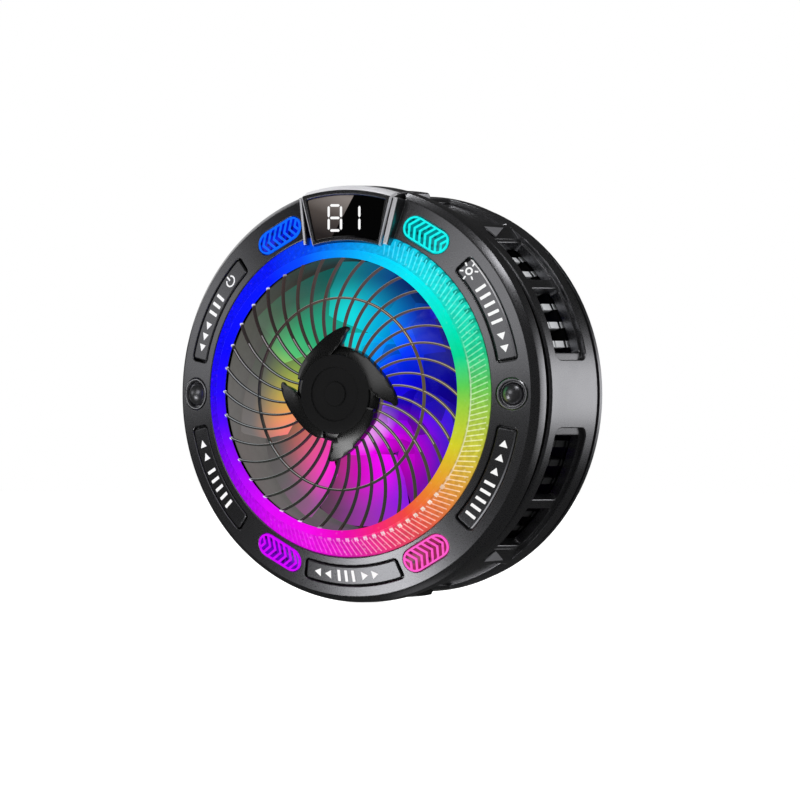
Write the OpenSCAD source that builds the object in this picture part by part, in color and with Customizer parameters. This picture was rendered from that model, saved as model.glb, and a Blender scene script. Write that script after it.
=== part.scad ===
// Round magnetic phone cooling fan, upright: front faces -Y, phone face at y = 0, display at the top (+Z).
// Modules are drawn in local axes: local z is the height above the phone face, local y is up.
// place() turns the local axes into the shared frame.

/* [Bodies] */
// outer diameter of the front ring
front_d = 68; // [65:0.5:74]
// radial step from the front ring to the mid housing
mid_step = 1.6; // [1.2:0.1:2]
// radial step from the mid housing to the rear rim
rear_step = 0.5; // [0.3:0.1:0.8]
// radial step from the rear rim to the grooves
groove_step = 0.9; // [0.6:0.1:1]
// wall of the mid housing
mid_wall = 2.4; // [2.2:0.1:2.8]

/* [Heights] */
// silicone pad thickness
pad_t = 0.6; // [0.5:0.05:0.8]
// rear rim height
rim_t = 1.4; // [1.3:0.05:1.6]
// rear groove height
rear_gap = 1.35; // [1.2:0.05:1.6]
// mid housing height
mid_h = 15.25; // [15:0.05:17]
// front groove height
front_gap = 4.05; // [3.6:0.05:4.6]
// straight wall of the front ring
wall_h = 2.2; // [1.8:0.1:2.6]
// bevel height of the front ring
bevel_h = 1.35; // [1:0.05:1.5]
// radial width of the bevel
bevel_w = 0.87; // [0.7:0.01:1.2]
// rise of the sloped bezel face
face_rise = 2.05; // [1.8:0.05:2.3]
// rise of the ribbed light cone
cone_rise = 1.65; // [1.3:0.05:2]
// height of the smooth hoop
hoop_h = 1.7; // [1.4:0.05:1.9]

/* [Front openings] */
// radial width of the sloped bezel face
face_w = 6.49; // [6:0.01:6.8]
// radial width of the ribbed light cone
cone_w = 3.14; // [2.8:0.01:3.4]
// wall of the smooth hoop
hoop_w = 1.26; // [1.15:0.01:1.4]

/* [Grille] */
// number of spokes
spokes = 36; // [30:1:40]
// spoke and ring width
spoke_w = 0.6; // [0.5:0.05:0.9]
// spoke thickness
spoke_t = 1.3; // [1.1:0.05:1.35]
// radius of the middle ring
mid_ring_r = 15.65; // [14:0.05:17]
// radius of the hub plate
hub_plate_r = 7.8; // [7:0.1:8.4]
// radius of the cap disc
cap_r = 6.4; // [6:0.1:6.8]
// reach of the claws
claw_r = 11.6; // [10.8:0.1:12]

/* [Fan] */
// number of blades
blades = 7; // [5:1:9]
// gap from the blade tips to the hoop
tip_gap = 0.64; // [0.4:0.02:1]
// blade pitch angle
pitch = 38; // [30:1:45]
// blade thickness
blade_t = 1; // [0.8:0.05:1.2]
// fan hub radius
fan_hub_r = 10; // [9.7:0.05:10.3]
// shaft radius
shaft_r = 0.75; // [0.6:0.05:0.8]

/* [Cooling] */
// radial width of the magnets
mag_w = 3.8; // [3.4:0.1:4.2]
// step from the cold plate's flange to its contact disc
flange_step = 1.05; // [0.8:0.05:1.3]
// gap from the module's corners to the flange edge
tec_gap = 0.84; // [0.5:0.02:2]
// length of the fins
fin_l = 13; // [10:0.5:14]
// number of heat sink fin places
fins = 56; // [48:1:60]
// fin thickness
fin_t = 1.1; // [0.9:0.05:1.3]
// number of arc magnets
magnets = 16; // [12:1:20]

/* [Keys and panels] */
// radial width of the panels
panel_w = 3.4; // [3:0.05:3.6]
// half angle of a panel
panel_a = 17.75; // [16:0.25:18]
// clock position of the side panels, from 3 or 9 o'clock
panel_c = 28; // [27.5:0.1:28.5]
// visible gap round a panel
panel_gap = 0.25; // [0.15:0.01:0.3]
// travel of a push key
key_travel = 0.3; // [0.2:0.05:0.3]
// length of a corner window
window_l = 8.8; // [8:0.1:9]
// width of a corner window
window_w = 3.9; // [3.6:0.1:4]
// window place from 12 or 6 o'clock
window_a = 28.2; // [28:0.1:28.4]
// half angle of the display block
disp_a = 15; // [14.8:0.1:15.2]

/* [Clearances] */
// general fit between fixed pieces
fit = 0.1; // [0.05:0.01:0.12]
// running fit of the shaft in its bearing
run_fit = 0.05; // [0.02:0.01:0.08]
// screw thread fit in a boss
thread_fit = 0.05; // [0.03:0.01:0.08]

/* [Hidden] */
$fn = 96;
e = 0.5;
front_r = front_d / 2;
mid_r = front_r - mid_step;
rim_r = mid_r - rear_step;
neck_r = rim_r - groove_step;
in_r = mid_r - mid_wall;
z_rim = pad_t;
z_rim_top = z_rim + rim_t;
z_mid = z_rim_top + rear_gap;
z_mid_top = z_mid + mid_h;
z_wall = z_mid_top + front_gap;
z_wall_top = z_wall + wall_h;
z_bevel = z_wall_top + bevel_h;
z_face = z_bevel + face_rise;
z_cone = z_face + cone_rise;
z_hoop = z_cone + hoop_h;
z_cap = z_hoop + 1.5;
bevel_r = front_r - bevel_w;
face_in_r = bevel_r - face_w;
face_mid_r = (bevel_r + face_in_r) / 2;
hoop_r = face_in_r - cone_w;
hoop_in_r = hoop_r - hoop_w;
tip_r = hoop_in_r - tip_gap;
slope = face_rise / (bevel_r - face_in_r);
tilt = atan(slope);
face_t = 1.1;
lip_t = 0.8;
lip_r = in_r - 0.6;
board_t = 1;
z_board = z_wall + lip_t;
z_board_top = z_board + board_t;
board_in_r = hoop_r;
board_out_r = front_r - 1.6;
skirt_out_r = face_in_r - 0.74;
skirt_in_r = skirt_out_r - 1;
ledge_t = 1;
z_ledge = z_mid_top - 2.7;
z_frame = z_ledge + ledge_t;
frame_t = 1;
z_motor = z_frame + frame_t;
duct_r = hoop_in_r + 0.06;
duct_low_r = hoop_r - fit;
lip_wall = 0.6;
duct_top_r = hoop_r - lip_wall - fit;
z_spoke_top = z_hoop - 0.2;
z_spoke = z_spoke_top - spoke_t;
z_plate = z_spoke_top + 0.1;
z_grille = z_hoop - 2;
z_lip = z_hoop - 0.85;
bezel_boss_r = 1.5;
bezel_screw_r = skirt_out_r + 0.3 + bezel_boss_r;
lug_r = 1.8;
bezel_a = [50, 130, 230, 310];
screw_r = 0.75;
hole_r = screw_r + 0.1;
head_r = 1.4;
head_t = 1.1;
house_screw_r = rim_r - 2.6;
house_boss_r = 1.8;
house_boss_h = 4.45;
house_screw_l = z_mid + house_boss_h - 0.7 - z_rim - head_t;
bezel_screw_l = 6;
house_a = [0, 90, 180, 270];
sink_a = [45, 135, 225, 315];
sink_boss_r = 1.7;
plate_t = 1.6;
flange_t = 0.8;
pad_out_r = house_screw_r - head_r - 0.3;
mag_out_r = pad_out_r - 0.95;
mag_in_r = mag_out_r - mag_w;
flange_r = mag_in_r - fit - 0.7;
cold_r = flange_r - flange_step;
tec_side = (flange_r - tec_gap) * sqrt(2);
sink_screw_r = mag_in_r + 1.75;
z_tec = plate_t + flange_t;
ceramic_t = 0.6;
pellet_t = 1.6;
z_hot = z_tec + ceramic_t + pellet_t;
z_sink = z_hot + ceramic_t;
base_t = 1.4;
z_fin = z_sink + base_t;
z_fin_top = z_ledge - 0.5;
sink_r = in_r - 0.5;
fin_in_r = sink_r - fin_l;
mag_t = 1.8;
shield_t = 0.3;
z_shield = pad_t + mag_t;
z_channel = z_shield + shield_t;
pad_in_r = cold_r + 0.5;
vent_a0 = 10.5;
vent_a1 = 33.1;
vent_a2 = 36.1;
vent_a3 = 55;
z_vent = z_mid + 3.25;
z_vent_top = z_ledge - 0.1;
pad_top_r = mid_r + 0.9;
pad_a = 9.5;
pad_h = 7.2;
z_pcb = z_fin + 4.2;
pcb_t = 1;
pcb_l = 19;
pcb_w = 7.7;
pcb_y = in_r - 1.8;
ribbon_x = 9;
ribbon_w = 4;
ribbon_t = 0.3;
ribbon_y = pcb_y - 1.3;
z_usb = z_pcb + pcb_t;
usb_w = 8.94;
usb_t = 3.26;
usb_l = 7.2;
usb_wall = 0.3;
usb_mouth = pad_top_r - 0.3;
z_blade = z_motor + 1;
z_blade_top = z_spoke - 1.6;
z_hub = z_motor + 0.7;
z_hub_top = z_spoke - 3.2;
yoke_r = fan_hub_r - 1;
bearing_r = 1.5;
tower_r = bearing_r + 0.8;
z_tower = z_motor + 6.4;
window_at = [90 - window_a, 90 + window_a, 270 - window_a, 270 + window_a];
window_r = face_mid_r - 0.485;
window_t = 1.3;
stud_r = 2.55;
ball_r = 1.95;
stud_at_r = face_mid_r + 0.115;
panel_mid_r = face_mid_r - 0.185;
panel_r0 = panel_mid_r - panel_w / 2;
panel_r1 = panel_mid_r + panel_w / 2;
switch_w = 2.4;
switch_h = 0.45;
plunger_r = 0.7;
led_r = skirt_in_r - 1.1;
led_l = 1.6;
led_t = 0.6;
disp_in_r = skirt_in_r;
lens_r0 = disp_in_r + 0.6;
lens_r1 = front_r - 1.4;

function face_z(r) = z_bevel + (bevel_r - r) * slope;
function gap_a(r, g) = g / r * 180 / PI;

// Helpers
module place() rotate([90, 0, 0]) children();
module disc(r, z0, z1) translate([0, 0, z0]) cylinder(r = r, h = z1 - z0);
module tube(ro, ri, z0, z1) difference() {
    disc(ro, z0, z1);
    disc(ri, z0 - e, z1 + e);
}
module at(r, a) rotate([0, 0, a]) translate([r, 0, 0]) children();
module peg(r, a, pr, z0, z1) at(r, a) disc(pr, z0, z1);
module sector(a0, a1) rotate([0, 0, a0]) rotate_extrude(angle = a1 - a0) children();
module box(x, y, z0, z1) translate([-x / 2, -y / 2, z0]) cube([x, y, z1 - z0]);
// on_face puts the local origin on the sloped bezel face, z along its normal
module on_face(r, a) at(r, a) translate([0, 0, face_z(r)]) rotate([0, tilt, 0]) children();

// Rear pieces
module rear_cover() color([0.3, 0.3, 0.32]) place() difference() {
    union() {
        rotate_extrude() polygon([
            [cold_r + fit, z_rim], [mag_in_r - fit, z_rim], [mag_in_r - fit, z_channel],
            [mag_out_r + fit, z_channel], [mag_out_r + fit, z_rim], [rim_r - 0.6, z_rim],
            [rim_r, z_rim + 0.6], [rim_r, z_rim_top], [neck_r, z_rim_top], [neck_r, z_mid],
            [flange_r + fit, z_mid], [flange_r + fit, plate_t], [cold_r + fit, plate_t]]);
        for (a = sink_a) peg(sink_screw_r, a, sink_boss_r, z_channel + 0.3, z_sink);
    }
    for (a = sink_a) peg(sink_screw_r, a, screw_r + thread_fit, z_channel + 0.4, z_sink + e);
    for (a = house_a) {
        peg(house_screw_r, a, hole_r, 0, z_mid + e);
        peg(house_screw_r, a, head_r + fit, 0, z_rim + head_t);
    }
}

module silicone_pad() color([0.15, 0.15, 0.16]) place() tube(pad_out_r, pad_in_r, 0, pad_t);

module magnet_ring() color([0.75, 0.75, 0.78]) place()
    for (i = [0 : magnets - 1])
        sector(i * 360 / magnets + 1, (i + 1) * 360 / magnets - 1)
            translate([mag_in_r, pad_t]) square([mag_out_r - mag_in_r, mag_t]);

module magnet_shield() color([0.6, 0.6, 0.62]) place() tube(mag_out_r, mag_in_r, z_shield, z_channel);

module cold_plate() color([0.85, 0.86, 0.88]) place() union() {
    disc(cold_r, 0, plate_t);
    disc(flange_r, plate_t, z_tec);
}

module tec_cold_side() color([0.95, 0.95, 0.92]) place() box(tec_side, tec_side, z_tec, z_tec + ceramic_t);
module tec_hot_side() color([0.95, 0.95, 0.92]) place() box(tec_side, tec_side, z_hot, z_sink);

module tec_pellets() color([0.5, 0.5, 0.52]) place() {
    n = 8;
    step = (tec_side - 2) / n;
    for (i = [0 : n - 1])
        for (j = [0 : n - 1])
            translate([(i - (n - 1) / 2) * step, (j - (n - 1) / 2) * step, 0])
                box(step * 0.5, step * 0.5, z_tec + ceramic_t, z_hot);
}

module insulator() color([0.2, 0.2, 0.2]) place() difference() {
    disc(flange_r, z_tec, z_sink);
    box(tec_side + 2 * fit, tec_side + 2 * fit, z_tec - e, z_sink + e);
}

module sink_fins() difference() {
    intersection() {
        for (i = [0 : fins - 1])
            rotate([0, 0, (i + 0.5) * 360 / fins])
                translate([fin_in_r, -fin_t / 2, z_fin - 0.3]) cube([20, fin_t, z_fin_top - z_fin + 0.3]);
        disc(sink_r - 0.1, z_fin - e, z_fin_top + e);
    }
    translate([-pcb_l / 2 - 1.5, -pcb_y - 11.8, z_fin - 1]) cube([pcb_l + 3, 23, 20]);
    tube(sink_r + e, sink_r - 1, z_fin_top - 2.8, z_fin_top - 2.4);
    tube(sink_r + e, sink_r - 1, z_fin_top - 5.4, z_fin_top - 5);
    for (a = house_a) peg(house_screw_r, a, house_boss_r + 0.5, z_fin - 1, z_fin_top + e);
    for (a = sink_a) peg(sink_screw_r, a, head_r + 0.6, z_fin - 1, z_fin_top + e);
    for (a = bezel_a) peg(bezel_screw_r, a, head_r + 0.8, z_ledge - 2, z_fin_top + e);
}

module heat_sink() color([0.8, 0.81, 0.83]) place() union() {
    difference() {
        disc(sink_r, z_sink, z_fin);
        for (a = house_a) peg(house_screw_r, a, house_boss_r + 0.3, z_sink - e, z_fin + e);
        for (a = sink_a) peg(sink_screw_r, a, hole_r, z_sink - e, z_fin + e);
    }
    disc(9, z_fin - 0.2, z_fin + 2.4);
    for (x = [-7, 7]) translate([x, pcb_w - pcb_y - 1.5, 0]) disc(1.2, z_fin - 0.2, z_pcb);
    sink_fins();
}

// a pan head screw: head from z to z + head height, shank of length l towards -z
module screw(l) difference() {
    union() {
        disc(head_r, 0, head_t);
        disc(screw_r, -l, 0.01);
    }
    translate([0, 0, head_t - 0.5]) box(0.4, 1.8, 0, 1);
    translate([0, 0, head_t - 0.5]) box(1.8, 0.4, 0, 1);
}

module heat_sink_screws() color([0.7, 0.7, 0.72]) place()
    for (a = sink_a) at(sink_screw_r, a) translate([0, 0, z_fin]) screw(z_fin - z_channel - 0.6);

module housing_screws() color([0.25, 0.25, 0.27]) place()
    for (a = house_a) at(house_screw_r, a) translate([0, 0, z_rim + head_t]) rotate([180, 0, 0]) screw(house_screw_l);

module bezel_screws() color([0.7, 0.7, 0.72]) place()
    for (a = bezel_a) at(bezel_screw_r, a) translate([0, 0, z_ledge]) rotate([180, 0, 0]) screw(bezel_screw_l);

// Mid housing
module vent(a0, a1, m0, m1, r) sector(a0 - m0, a1 + m1)
    translate([r, z_vent - max(m0, m1) * 0.6]) square([8, z_vent_top - z_vent + max(m0, m1) * 1.2 - 0.1]);

module side_cuts() {
    vent(vent_a0, vent_a1, 0, 0, in_r - 4);
    vent(vent_a2, vent_a3, 0, 0, in_r - 4);
    vent(vent_a0, vent_a3, 1, 1, mid_r - 0.8);
    sector(62, 79) translate([mid_r - 1, z_vent]) square([4, z_vent_top - z_vent]);
}

module mid_housing() color([0.36, 0.36, 0.38]) place() difference() {
    union() {
        rotate_extrude() polygon([
            [in_r, z_mid], [mid_r - 0.3, z_mid], [mid_r, z_mid + 0.3], [mid_r, z_mid_top - 0.4],
            [mid_r - 0.4, z_mid_top], [neck_r, z_mid_top], [neck_r, z_wall], [lip_r, z_wall],
            [lip_r, z_mid_top], [in_r, z_mid_top - 0.6], [in_r, z_frame], [in_r - 1.4, z_frame],
            [in_r - 1.4, z_ledge + 0.1], [in_r, z_ledge + 0.1]]);
        for (a = [90, 270])
            sector(a - pad_a, a + pad_a) polygon([
                [mid_r - 1, z_mid_top - 0.6 - pad_h], [pad_top_r - 0.7, z_mid_top - 0.6 - pad_h],
                [pad_top_r, z_mid_top + 0.2 - pad_h], [pad_top_r, z_mid_top - 2.4],
                [pad_top_r - 1.1, z_mid_top - 0.6], [mid_r - 1, z_mid_top - 0.6]]);
        for (a = bezel_a) peg(bezel_screw_r, a, lug_r, z_ledge, z_frame - 0.05);
        for (a = house_a) intersection() {
            union() {
                peg(house_screw_r, a, house_boss_r, z_mid, z_mid + house_boss_h);
                at(house_screw_r, a) translate([0, -house_boss_r, z_mid]) cube([2, 2 * house_boss_r, house_boss_h]);
            }
            disc(in_r + 1, z_mid, z_mid + house_boss_h);
        }
    }
    for (m = [0, 1])
        for (n = [0, 1])
            mirror([m, 0, 0]) mirror([0, n, 0]) side_cuts();
    for (a = bezel_a) peg(bezel_screw_r, a, hole_r, z_ledge - e, z_frame + e);
    for (a = house_a) peg(house_screw_r, a, screw_r + thread_fit, z_mid - e, z_mid + house_boss_h - 0.6);
    usb_space(0.15, usb_mouth + 4);
}

// USB receptacle outline from the inside to radius r, grown by g
module usb_space(g, r) translate([0, -r, z_usb + usb_t / 2]) rotate([-90, 0, 0]) {
    for (s = [-1, 1]) translate([s * (usb_w - usb_t) / 2, 0, 0]) cylinder(r = usb_t / 2 + g, h = r - usb_mouth + usb_l);
    translate([-(usb_w - usb_t) / 2, -usb_t / 2 - g, 0]) cube([usb_w - usb_t, usb_t + 2 * g, r - usb_mouth + usb_l]);
}

module control_board() color([0.1, 0.35, 0.2]) place()
    translate([-pcb_l / 2, -pcb_y, z_pcb]) cube([pcb_l, pcb_w, pcb_t]);

module usb_shell() color([0.8, 0.8, 0.82]) place() difference() {
    usb_space(0, usb_mouth);
    translate([0, -1, 0]) usb_space(-usb_wall, usb_mouth);
}

module usb_tongue() color([0.12, 0.12, 0.12]) place()
    translate([-3.4, usb_l - usb_mouth - 6.2, z_usb + usb_t / 2 - 0.35]) cube([6.8, 5.2, 0.7]);

module ribbon_cable() color([0.75, 0.6, 0.3]) place()
    translate([-ribbon_x, -ribbon_y, z_usb]) cube([ribbon_w, ribbon_t, z_board - z_usb]);

// Fan and motor
module fan_frame() color([0.45, 0.45, 0.46]) place() difference() {
    union() {
        tube(in_r - 0.2, duct_r, z_frame, z_motor);
        tube(duct_low_r, duct_r, z_frame, z_face - 1.25);
        tube(duct_top_r, duct_r, z_frame, z_grille);
        disc(fan_hub_r - 0.1, z_frame, z_motor);
        for (a = [20, 110, 200, 290])
            rotate([0, 0, a]) translate([7, -1, z_frame]) cube([duct_r - 6.8, 2, frame_t]);
        disc(tower_r, z_frame, z_tower);
    }
    disc(bearing_r + 0.05, z_frame + 0.6, z_tower + 0.6);
    for (a = bezel_a) peg(bezel_screw_r, a, hole_r, z_frame - e, z_motor + e);
    translate([-ribbon_x - 0.5, -ribbon_y - 0.6, z_frame - e]) cube([ribbon_w + 1, ribbon_t + 1.1, frame_t + 2 * e]);
}

module motor_board() color([0.1, 0.35, 0.2]) place() tube(yoke_r - 1.3, tower_r + fit, z_motor, z_hub);

module stator_core() color([0.5, 0.5, 0.52]) place() difference() {
    union() {
        disc(3.4, z_motor + 1.7, z_motor + 5.1);
        intersection() {
            disc(yoke_r - 2, z_motor + 1.7, z_motor + 5.1);
            union() {
                for (a = [0 : 90 : 270]) rotate([0, 0, a]) translate([2.8, -0.6, z_motor]) cube([yoke_r - 4, 1.2, 8]);
                for (a = [0 : 90 : 270]) sector(a - 36, a + 36) translate([yoke_r - 2.7, z_motor]) square([2, 8]);
            }
        }
    }
    disc(tower_r + 0.05, z_motor, z_motor + 9);
}

module stator_coils() color([0.75, 0.4, 0.2]) place()
    for (a = [0 : 90 : 270]) rotate([0, 0, a]) difference() {
        translate([3.55, -1.5, z_motor + 1]) cube([yoke_r - 6.5, 3, 4.8]);
        translate([3, -0.65, z_motor + 1.65]) cube([yoke_r - 5, 1.3, 3.5]);
    }

module bearing() color([0.7, 0.55, 0.25]) place() tube(bearing_r, shaft_r + run_fit, z_frame + 0.9, z_tower - 0.2);

module shaft() color([0.8, 0.8, 0.82]) place() disc(shaft_r, z_frame + 0.8, z_hub_top - 0.3);

module rotor_yoke() color([0.6, 0.6, 0.62]) place() difference() {
    disc(yoke_r, z_hub + 0.5, z_hub_top - 1.2);
    disc(yoke_r - 0.55, z_hub, z_hub_top - 1.8);
    disc(shaft_r + 0.03, z_hub, z_hub_top);
}

module rotor_magnet() color([0.2, 0.2, 0.2]) place() tube(yoke_r - 0.6, yoke_r - 1.6, z_hub + 0.6, z_hub + 6);

module impeller() color([0.6, 0.7, 0.9]) place() difference() {
    union() {
        disc(fan_hub_r, z_hub, z_hub_top);
        for (i = [0 : blades - 1]) rotate([0, 0, i * 360 / blades + 12]) intersection() {
            tube(tip_r, fan_hub_r - 0.3, z_blade, z_blade_top);
            translate([4, 0, (z_blade + z_blade_top) / 2]) rotate([pitch, 0, 0])
                translate([0, -9, -blade_t / 2]) cube([20, 18, blade_t]);
        }
    }
    disc(fan_hub_r - 0.9, z_hub - e, z_hub_top - 1.2);
    disc(shaft_r + 0.03, z_hub, z_hub_top - 0.3);
}

// Front electronics
module led_board() color([0.9, 0.9, 0.88]) place() difference() {
    tube(board_out_r, board_in_r, z_board, z_board_top);
    for (a = bezel_a) peg(bezel_screw_r, a, bezel_boss_r + fit, z_board - e, z_board_top + e);
}

module leds() color([1, 1, 0.85]) place() {
    for (i = [0 : 31]) rotate([0, 0, i * 11.25]) translate([led_r, -led_l / 2, z_board_top]) cube([0.9, led_l, led_t]);
    for (a = window_at) at(window_r, a) box(led_l, led_l, z_board_top, z_board_top + led_t);
}

module switch_at(a) at(panel_mid_r, a) difference() {
    box(switch_w, switch_w, z_board_top, z_board_top + switch_h);
    disc(plunger_r + fit, z_board_top + 0.1, z_board_top + 2);
}
module power_switch() color([0.2, 0.2, 0.2]) place() switch_at(180 - panel_c);
module light_switch() color([0.2, 0.2, 0.2]) place() switch_at(panel_c);

// Front ring
// ring sector between two radii, following the sloped face from depth d1 up to depth d0
module face_band(r0, r1, a, c, d0, d1) sector(c - a, c + a) polygon([
    [r0, face_z(r0) - d0], [r1, face_z(r1) - d0], [r1, face_z(r1) - d1], [r0, face_z(r0) - d1]]);

module pill(l, w, z0, z1) {
    for (s = [-1, 1]) translate([0, s * (l - w) / 2, 0]) disc(w / 2, z0, z1);
    translate([-w / 2, -(l - w) / 2, z0]) cube([w, l - w, z1 - z0]);
}

module front_ring() color([0.36, 0.36, 0.38]) place() difference() {
    union() {
        rotate_extrude() polygon([
            [lip_r, z_wall], [front_r, z_wall], [front_r, z_wall_top], [bevel_r, z_bevel],
            [face_in_r, z_face], [face_in_r, z_face - face_t], [front_r - 2, face_z(front_r - 2) - face_t],
            [front_r - 1.4, z_wall_top - 0.4], [front_r - 1.4, z_board], [lip_r, z_board]]);
        for (a = bezel_a) peg(bezel_screw_r, a, bezel_boss_r, z_motor, face_z(bezel_screw_r) - face_t + 0.2);
    }
    for (a = bezel_a) peg(bezel_screw_r, a, screw_r + thread_fit, z_motor - e, z_motor + 5.5);
    for (c = [panel_c, 180 - panel_c]) face_band(panel_r0, panel_r1, panel_a, c, -2, 3);
    for (c = [180 + panel_c, 360 - panel_c, 270]) face_band(panel_r0, panel_r1, panel_a, c, -2, 0.6);
    for (a = window_at) on_face(window_r, a) pill(window_l + 2 * fit, window_w + 2 * fit, -3, 3);
    for (a = [0, 180]) on_face(stud_at_r, a) disc(stud_r + fit, -3, 3);
    sector(90 - disp_a - 0.5, 90 + disp_a + 0.5) polygon([
        [20, z_board], [neck_r + 0.2, z_board], [neck_r + 0.2, z_wall - 1], [front_r + 2, z_wall - 1],
        [front_r + 2, z_hoop], [20, z_hoop]]);
}

module light_ring() color([0.3, 0.8, 0.9]) place() difference() {
    rotate_extrude() polygon([
        [hoop_in_r, z_hoop], [hoop_r, z_hoop], [hoop_r, z_cone], [face_in_r - 0.12, z_face + 0.06],
        [face_in_r - 0.12, z_face - 1.1], [skirt_out_r, z_face - 1.1], [skirt_out_r, z_board_top + 0.1],
        [skirt_in_r, z_board_top + 0.1], [skirt_in_r, z_face - 1.1], [hoop_r, z_face - 0.2],
        [hoop_r - lip_wall, z_face - 0.2], [hoop_r - lip_wall, z_lip], [hoop_in_r, z_lip]]);
    sector(90 - disp_a - 0.4, 90 + disp_a + 0.4) translate([disp_in_r - 0.2, z_board]) square([4, 8]);
}

// Grille and cap
arc_r = 14.3;
arc_x = 10.07;
arc_y = -13.17;
arc_d = norm([arc_x, arc_y]);
// angle seen from the arc's centre, between the fan axis and the point of the arc at radius r
function arc_a(r) = acos((arc_d * arc_d + arc_r * arc_r - r * r) / (2 * arc_d * arc_r));
arc_end = arc_a(hoop_in_r + 0.27);
arc_start = arc_a(hub_plate_r - 0.48);
module spoke() translate([arc_x, arc_y, z_spoke]) rotate([0, 0, 180 + atan2(arc_y, arc_x) - arc_end])
    rotate_extrude(angle = arc_end - arc_start) translate([arc_r - spoke_w / 2, 0]) square([spoke_w, spoke_t]);

module grille() color([0.3, 0.28, 0.28]) place() difference() {
    union() {
        for (i = [0 : spokes - 1]) rotate([0, 0, (i + 1.15) * 360 / spokes]) spoke();
        tube(mid_ring_r + spoke_w / 2, mid_ring_r - spoke_w / 2, z_spoke + 0.1, z_spoke_top - 0.1);
        tube(hoop_r - lip_wall - fit, hoop_in_r + 0.02, z_grille, z_lip - 0.15);
        disc(hub_plate_r, z_spoke - 0.1, z_plate);
    }
    tube(hoop_r + 2, hoop_in_r - 0.1, z_lip - 0.05, z_hoop + e);
    disc(1.55, z_spoke + 0.3, z_hoop);
}

claw_sweep = 70;
claw_base_r = hub_plate_r - 0.15;
claw_k = (claw_r * claw_r - claw_base_r * claw_base_r) / (2 * (claw_base_r - claw_r * cos(claw_sweep)));
module claw() difference() {
    intersection() {
        rotate([0, 0, claw_sweep]) translate([-claw_k, 0, 0]) disc(claw_k + claw_base_r, z_plate, z_cap);
        translate([0, 0, z_plate]) linear_extrude(height = 2) polygon([
            [0, 0], [15, -0.6], [15, 15], [15 * cos(claw_sweep), 15 * sin(claw_sweep)]]);
    }
    translate([claw_r - 2.52, -2.71, 0]) disc(3.7, z_plate - e, z_cap + e);
}

module hub_cap() color([0.08, 0.08, 0.08]) place() difference() {
    union() {
        disc(cap_r, z_plate, z_cap);
        disc(hub_plate_r, z_plate, z_plate + 0.7);
        disc(1.5, z_spoke + 0.4, z_plate + 0.1);
        intersection() {
            for (a = [-6.4, 83.6, 173.6, 263.6]) rotate([0, 0, a]) claw();
            disc(claw_r - 0.2, z_plate, z_cap);
            translate([0, 0, z_plate]) cylinder(r1 = claw_r + 3, r2 = cap_r - 0.6, h = z_cap - z_plate);
        }
    }
    tube(4.4, 2, z_cap - 0.3, z_cap + e);
}

// Display block
module display_frame() color([0.36, 0.36, 0.38]) place() difference() {
    sector(90 - disp_a, 90 + disp_a) polygon([
        [disp_in_r, z_board_top + 0.02], [disp_in_r, z_cone - 0.4], [front_r - 0.8, z_cone - 0.4],
        [front_r, z_wall_top + 2.6], [front_r, z_wall], [board_out_r + 0.2, z_wall],
        [board_out_r + 0.2, z_board_top + 0.02]]);
    sector(90 - disp_a + 1.8, 90 + disp_a - 1.8) translate([lens_r0, z_cone - 1.3]) square([lens_r1 - lens_r0, 3]);
    sector(90 - disp_a + 3.5, 90 + disp_a - 3.5)
        translate([lens_r0 + 1, z_cone - 3.8]) square([lens_r1 - lens_r0 - 2.1, 4]);
}

module display_module() color([0.1, 0.1, 0.1]) place()
    sector(90 - disp_a + 3.7, 90 + disp_a - 3.7)
        translate([lens_r0 + 1 + fit, z_cone - 3.8]) square([lens_r1 - lens_r0 - 2.1 - 2 * fit, 2.5]);

module display_lens() color([0.02, 0.02, 0.02]) place()
    sector(90 - disp_a + 2, 90 + disp_a - 2)
        translate([lens_r0 + fit, z_cone - 1.3]) square([lens_r1 - lens_r0 - 2 * fit, 0.6]);

// Keys, panels, windows and studs
module key(c) {
    g = panel_gap;
    r0 = panel_r0 + g;
    r1 = panel_r1 - g;
    da = gap_a(panel_mid_r, g);
    face_band(r0, r1, panel_a - da, c, 0, face_t + 0.5);
    face_band(panel_r0 - 0.35, panel_r1 + 0.35, panel_a + 1, c, face_t + 0.15, face_t + 0.5);
    at(panel_mid_r, c) disc(plunger_r, z_board_top + 0.15 + key_travel, face_z(panel_mid_r) - face_t - 0.4);
}
module power_key() color([0.4, 0.4, 0.42]) place() key(180 - panel_c);
module light_key() color([0.4, 0.4, 0.42]) place() key(panel_c);

module panel(c) {
    g = panel_gap;
    face_band(panel_r0 + g, panel_r1 - g, panel_a - gap_a(panel_mid_r, g), c, 0, 0.6);
}
module panel_lower_left() color([0.4, 0.4, 0.42]) place() panel(180 + panel_c);
module panel_lower_right() color([0.4, 0.4, 0.42]) place() panel(360 - panel_c);
module panel_bottom() color([0.4, 0.4, 0.42]) place() panel(270);

module window(a) on_face(window_r, a) pill(window_l, window_w, -window_t, 0.1);
module window_upper_right() color([0.1, 0.8, 0.9]) place() window(90 - window_a);
module window_upper_left() color([0.1, 0.3, 1]) place() window(90 + window_a);
module window_lower_left() color([0.8, 0.1, 0.9]) place() window(270 - window_a);
module window_lower_right() color([1, 0.2, 0.6]) place() window(270 + window_a);

module stud(a) on_face(stud_at_r, a) {
    difference() {
        disc(stud_r, -1.2, 0.1);
        disc(ball_r + 0.15, -0.8, 1);
    }
    intersection() {
        translate([0, 0, -1.1]) sphere(r = ball_r);
        disc(stud_r, -0.9, 3);
    }
}
module right_stud() color([0.1, 0.1, 0.1]) place() stud(0);
module left_stud() color([0.1, 0.1, 0.1]) place() stud(180);

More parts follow.
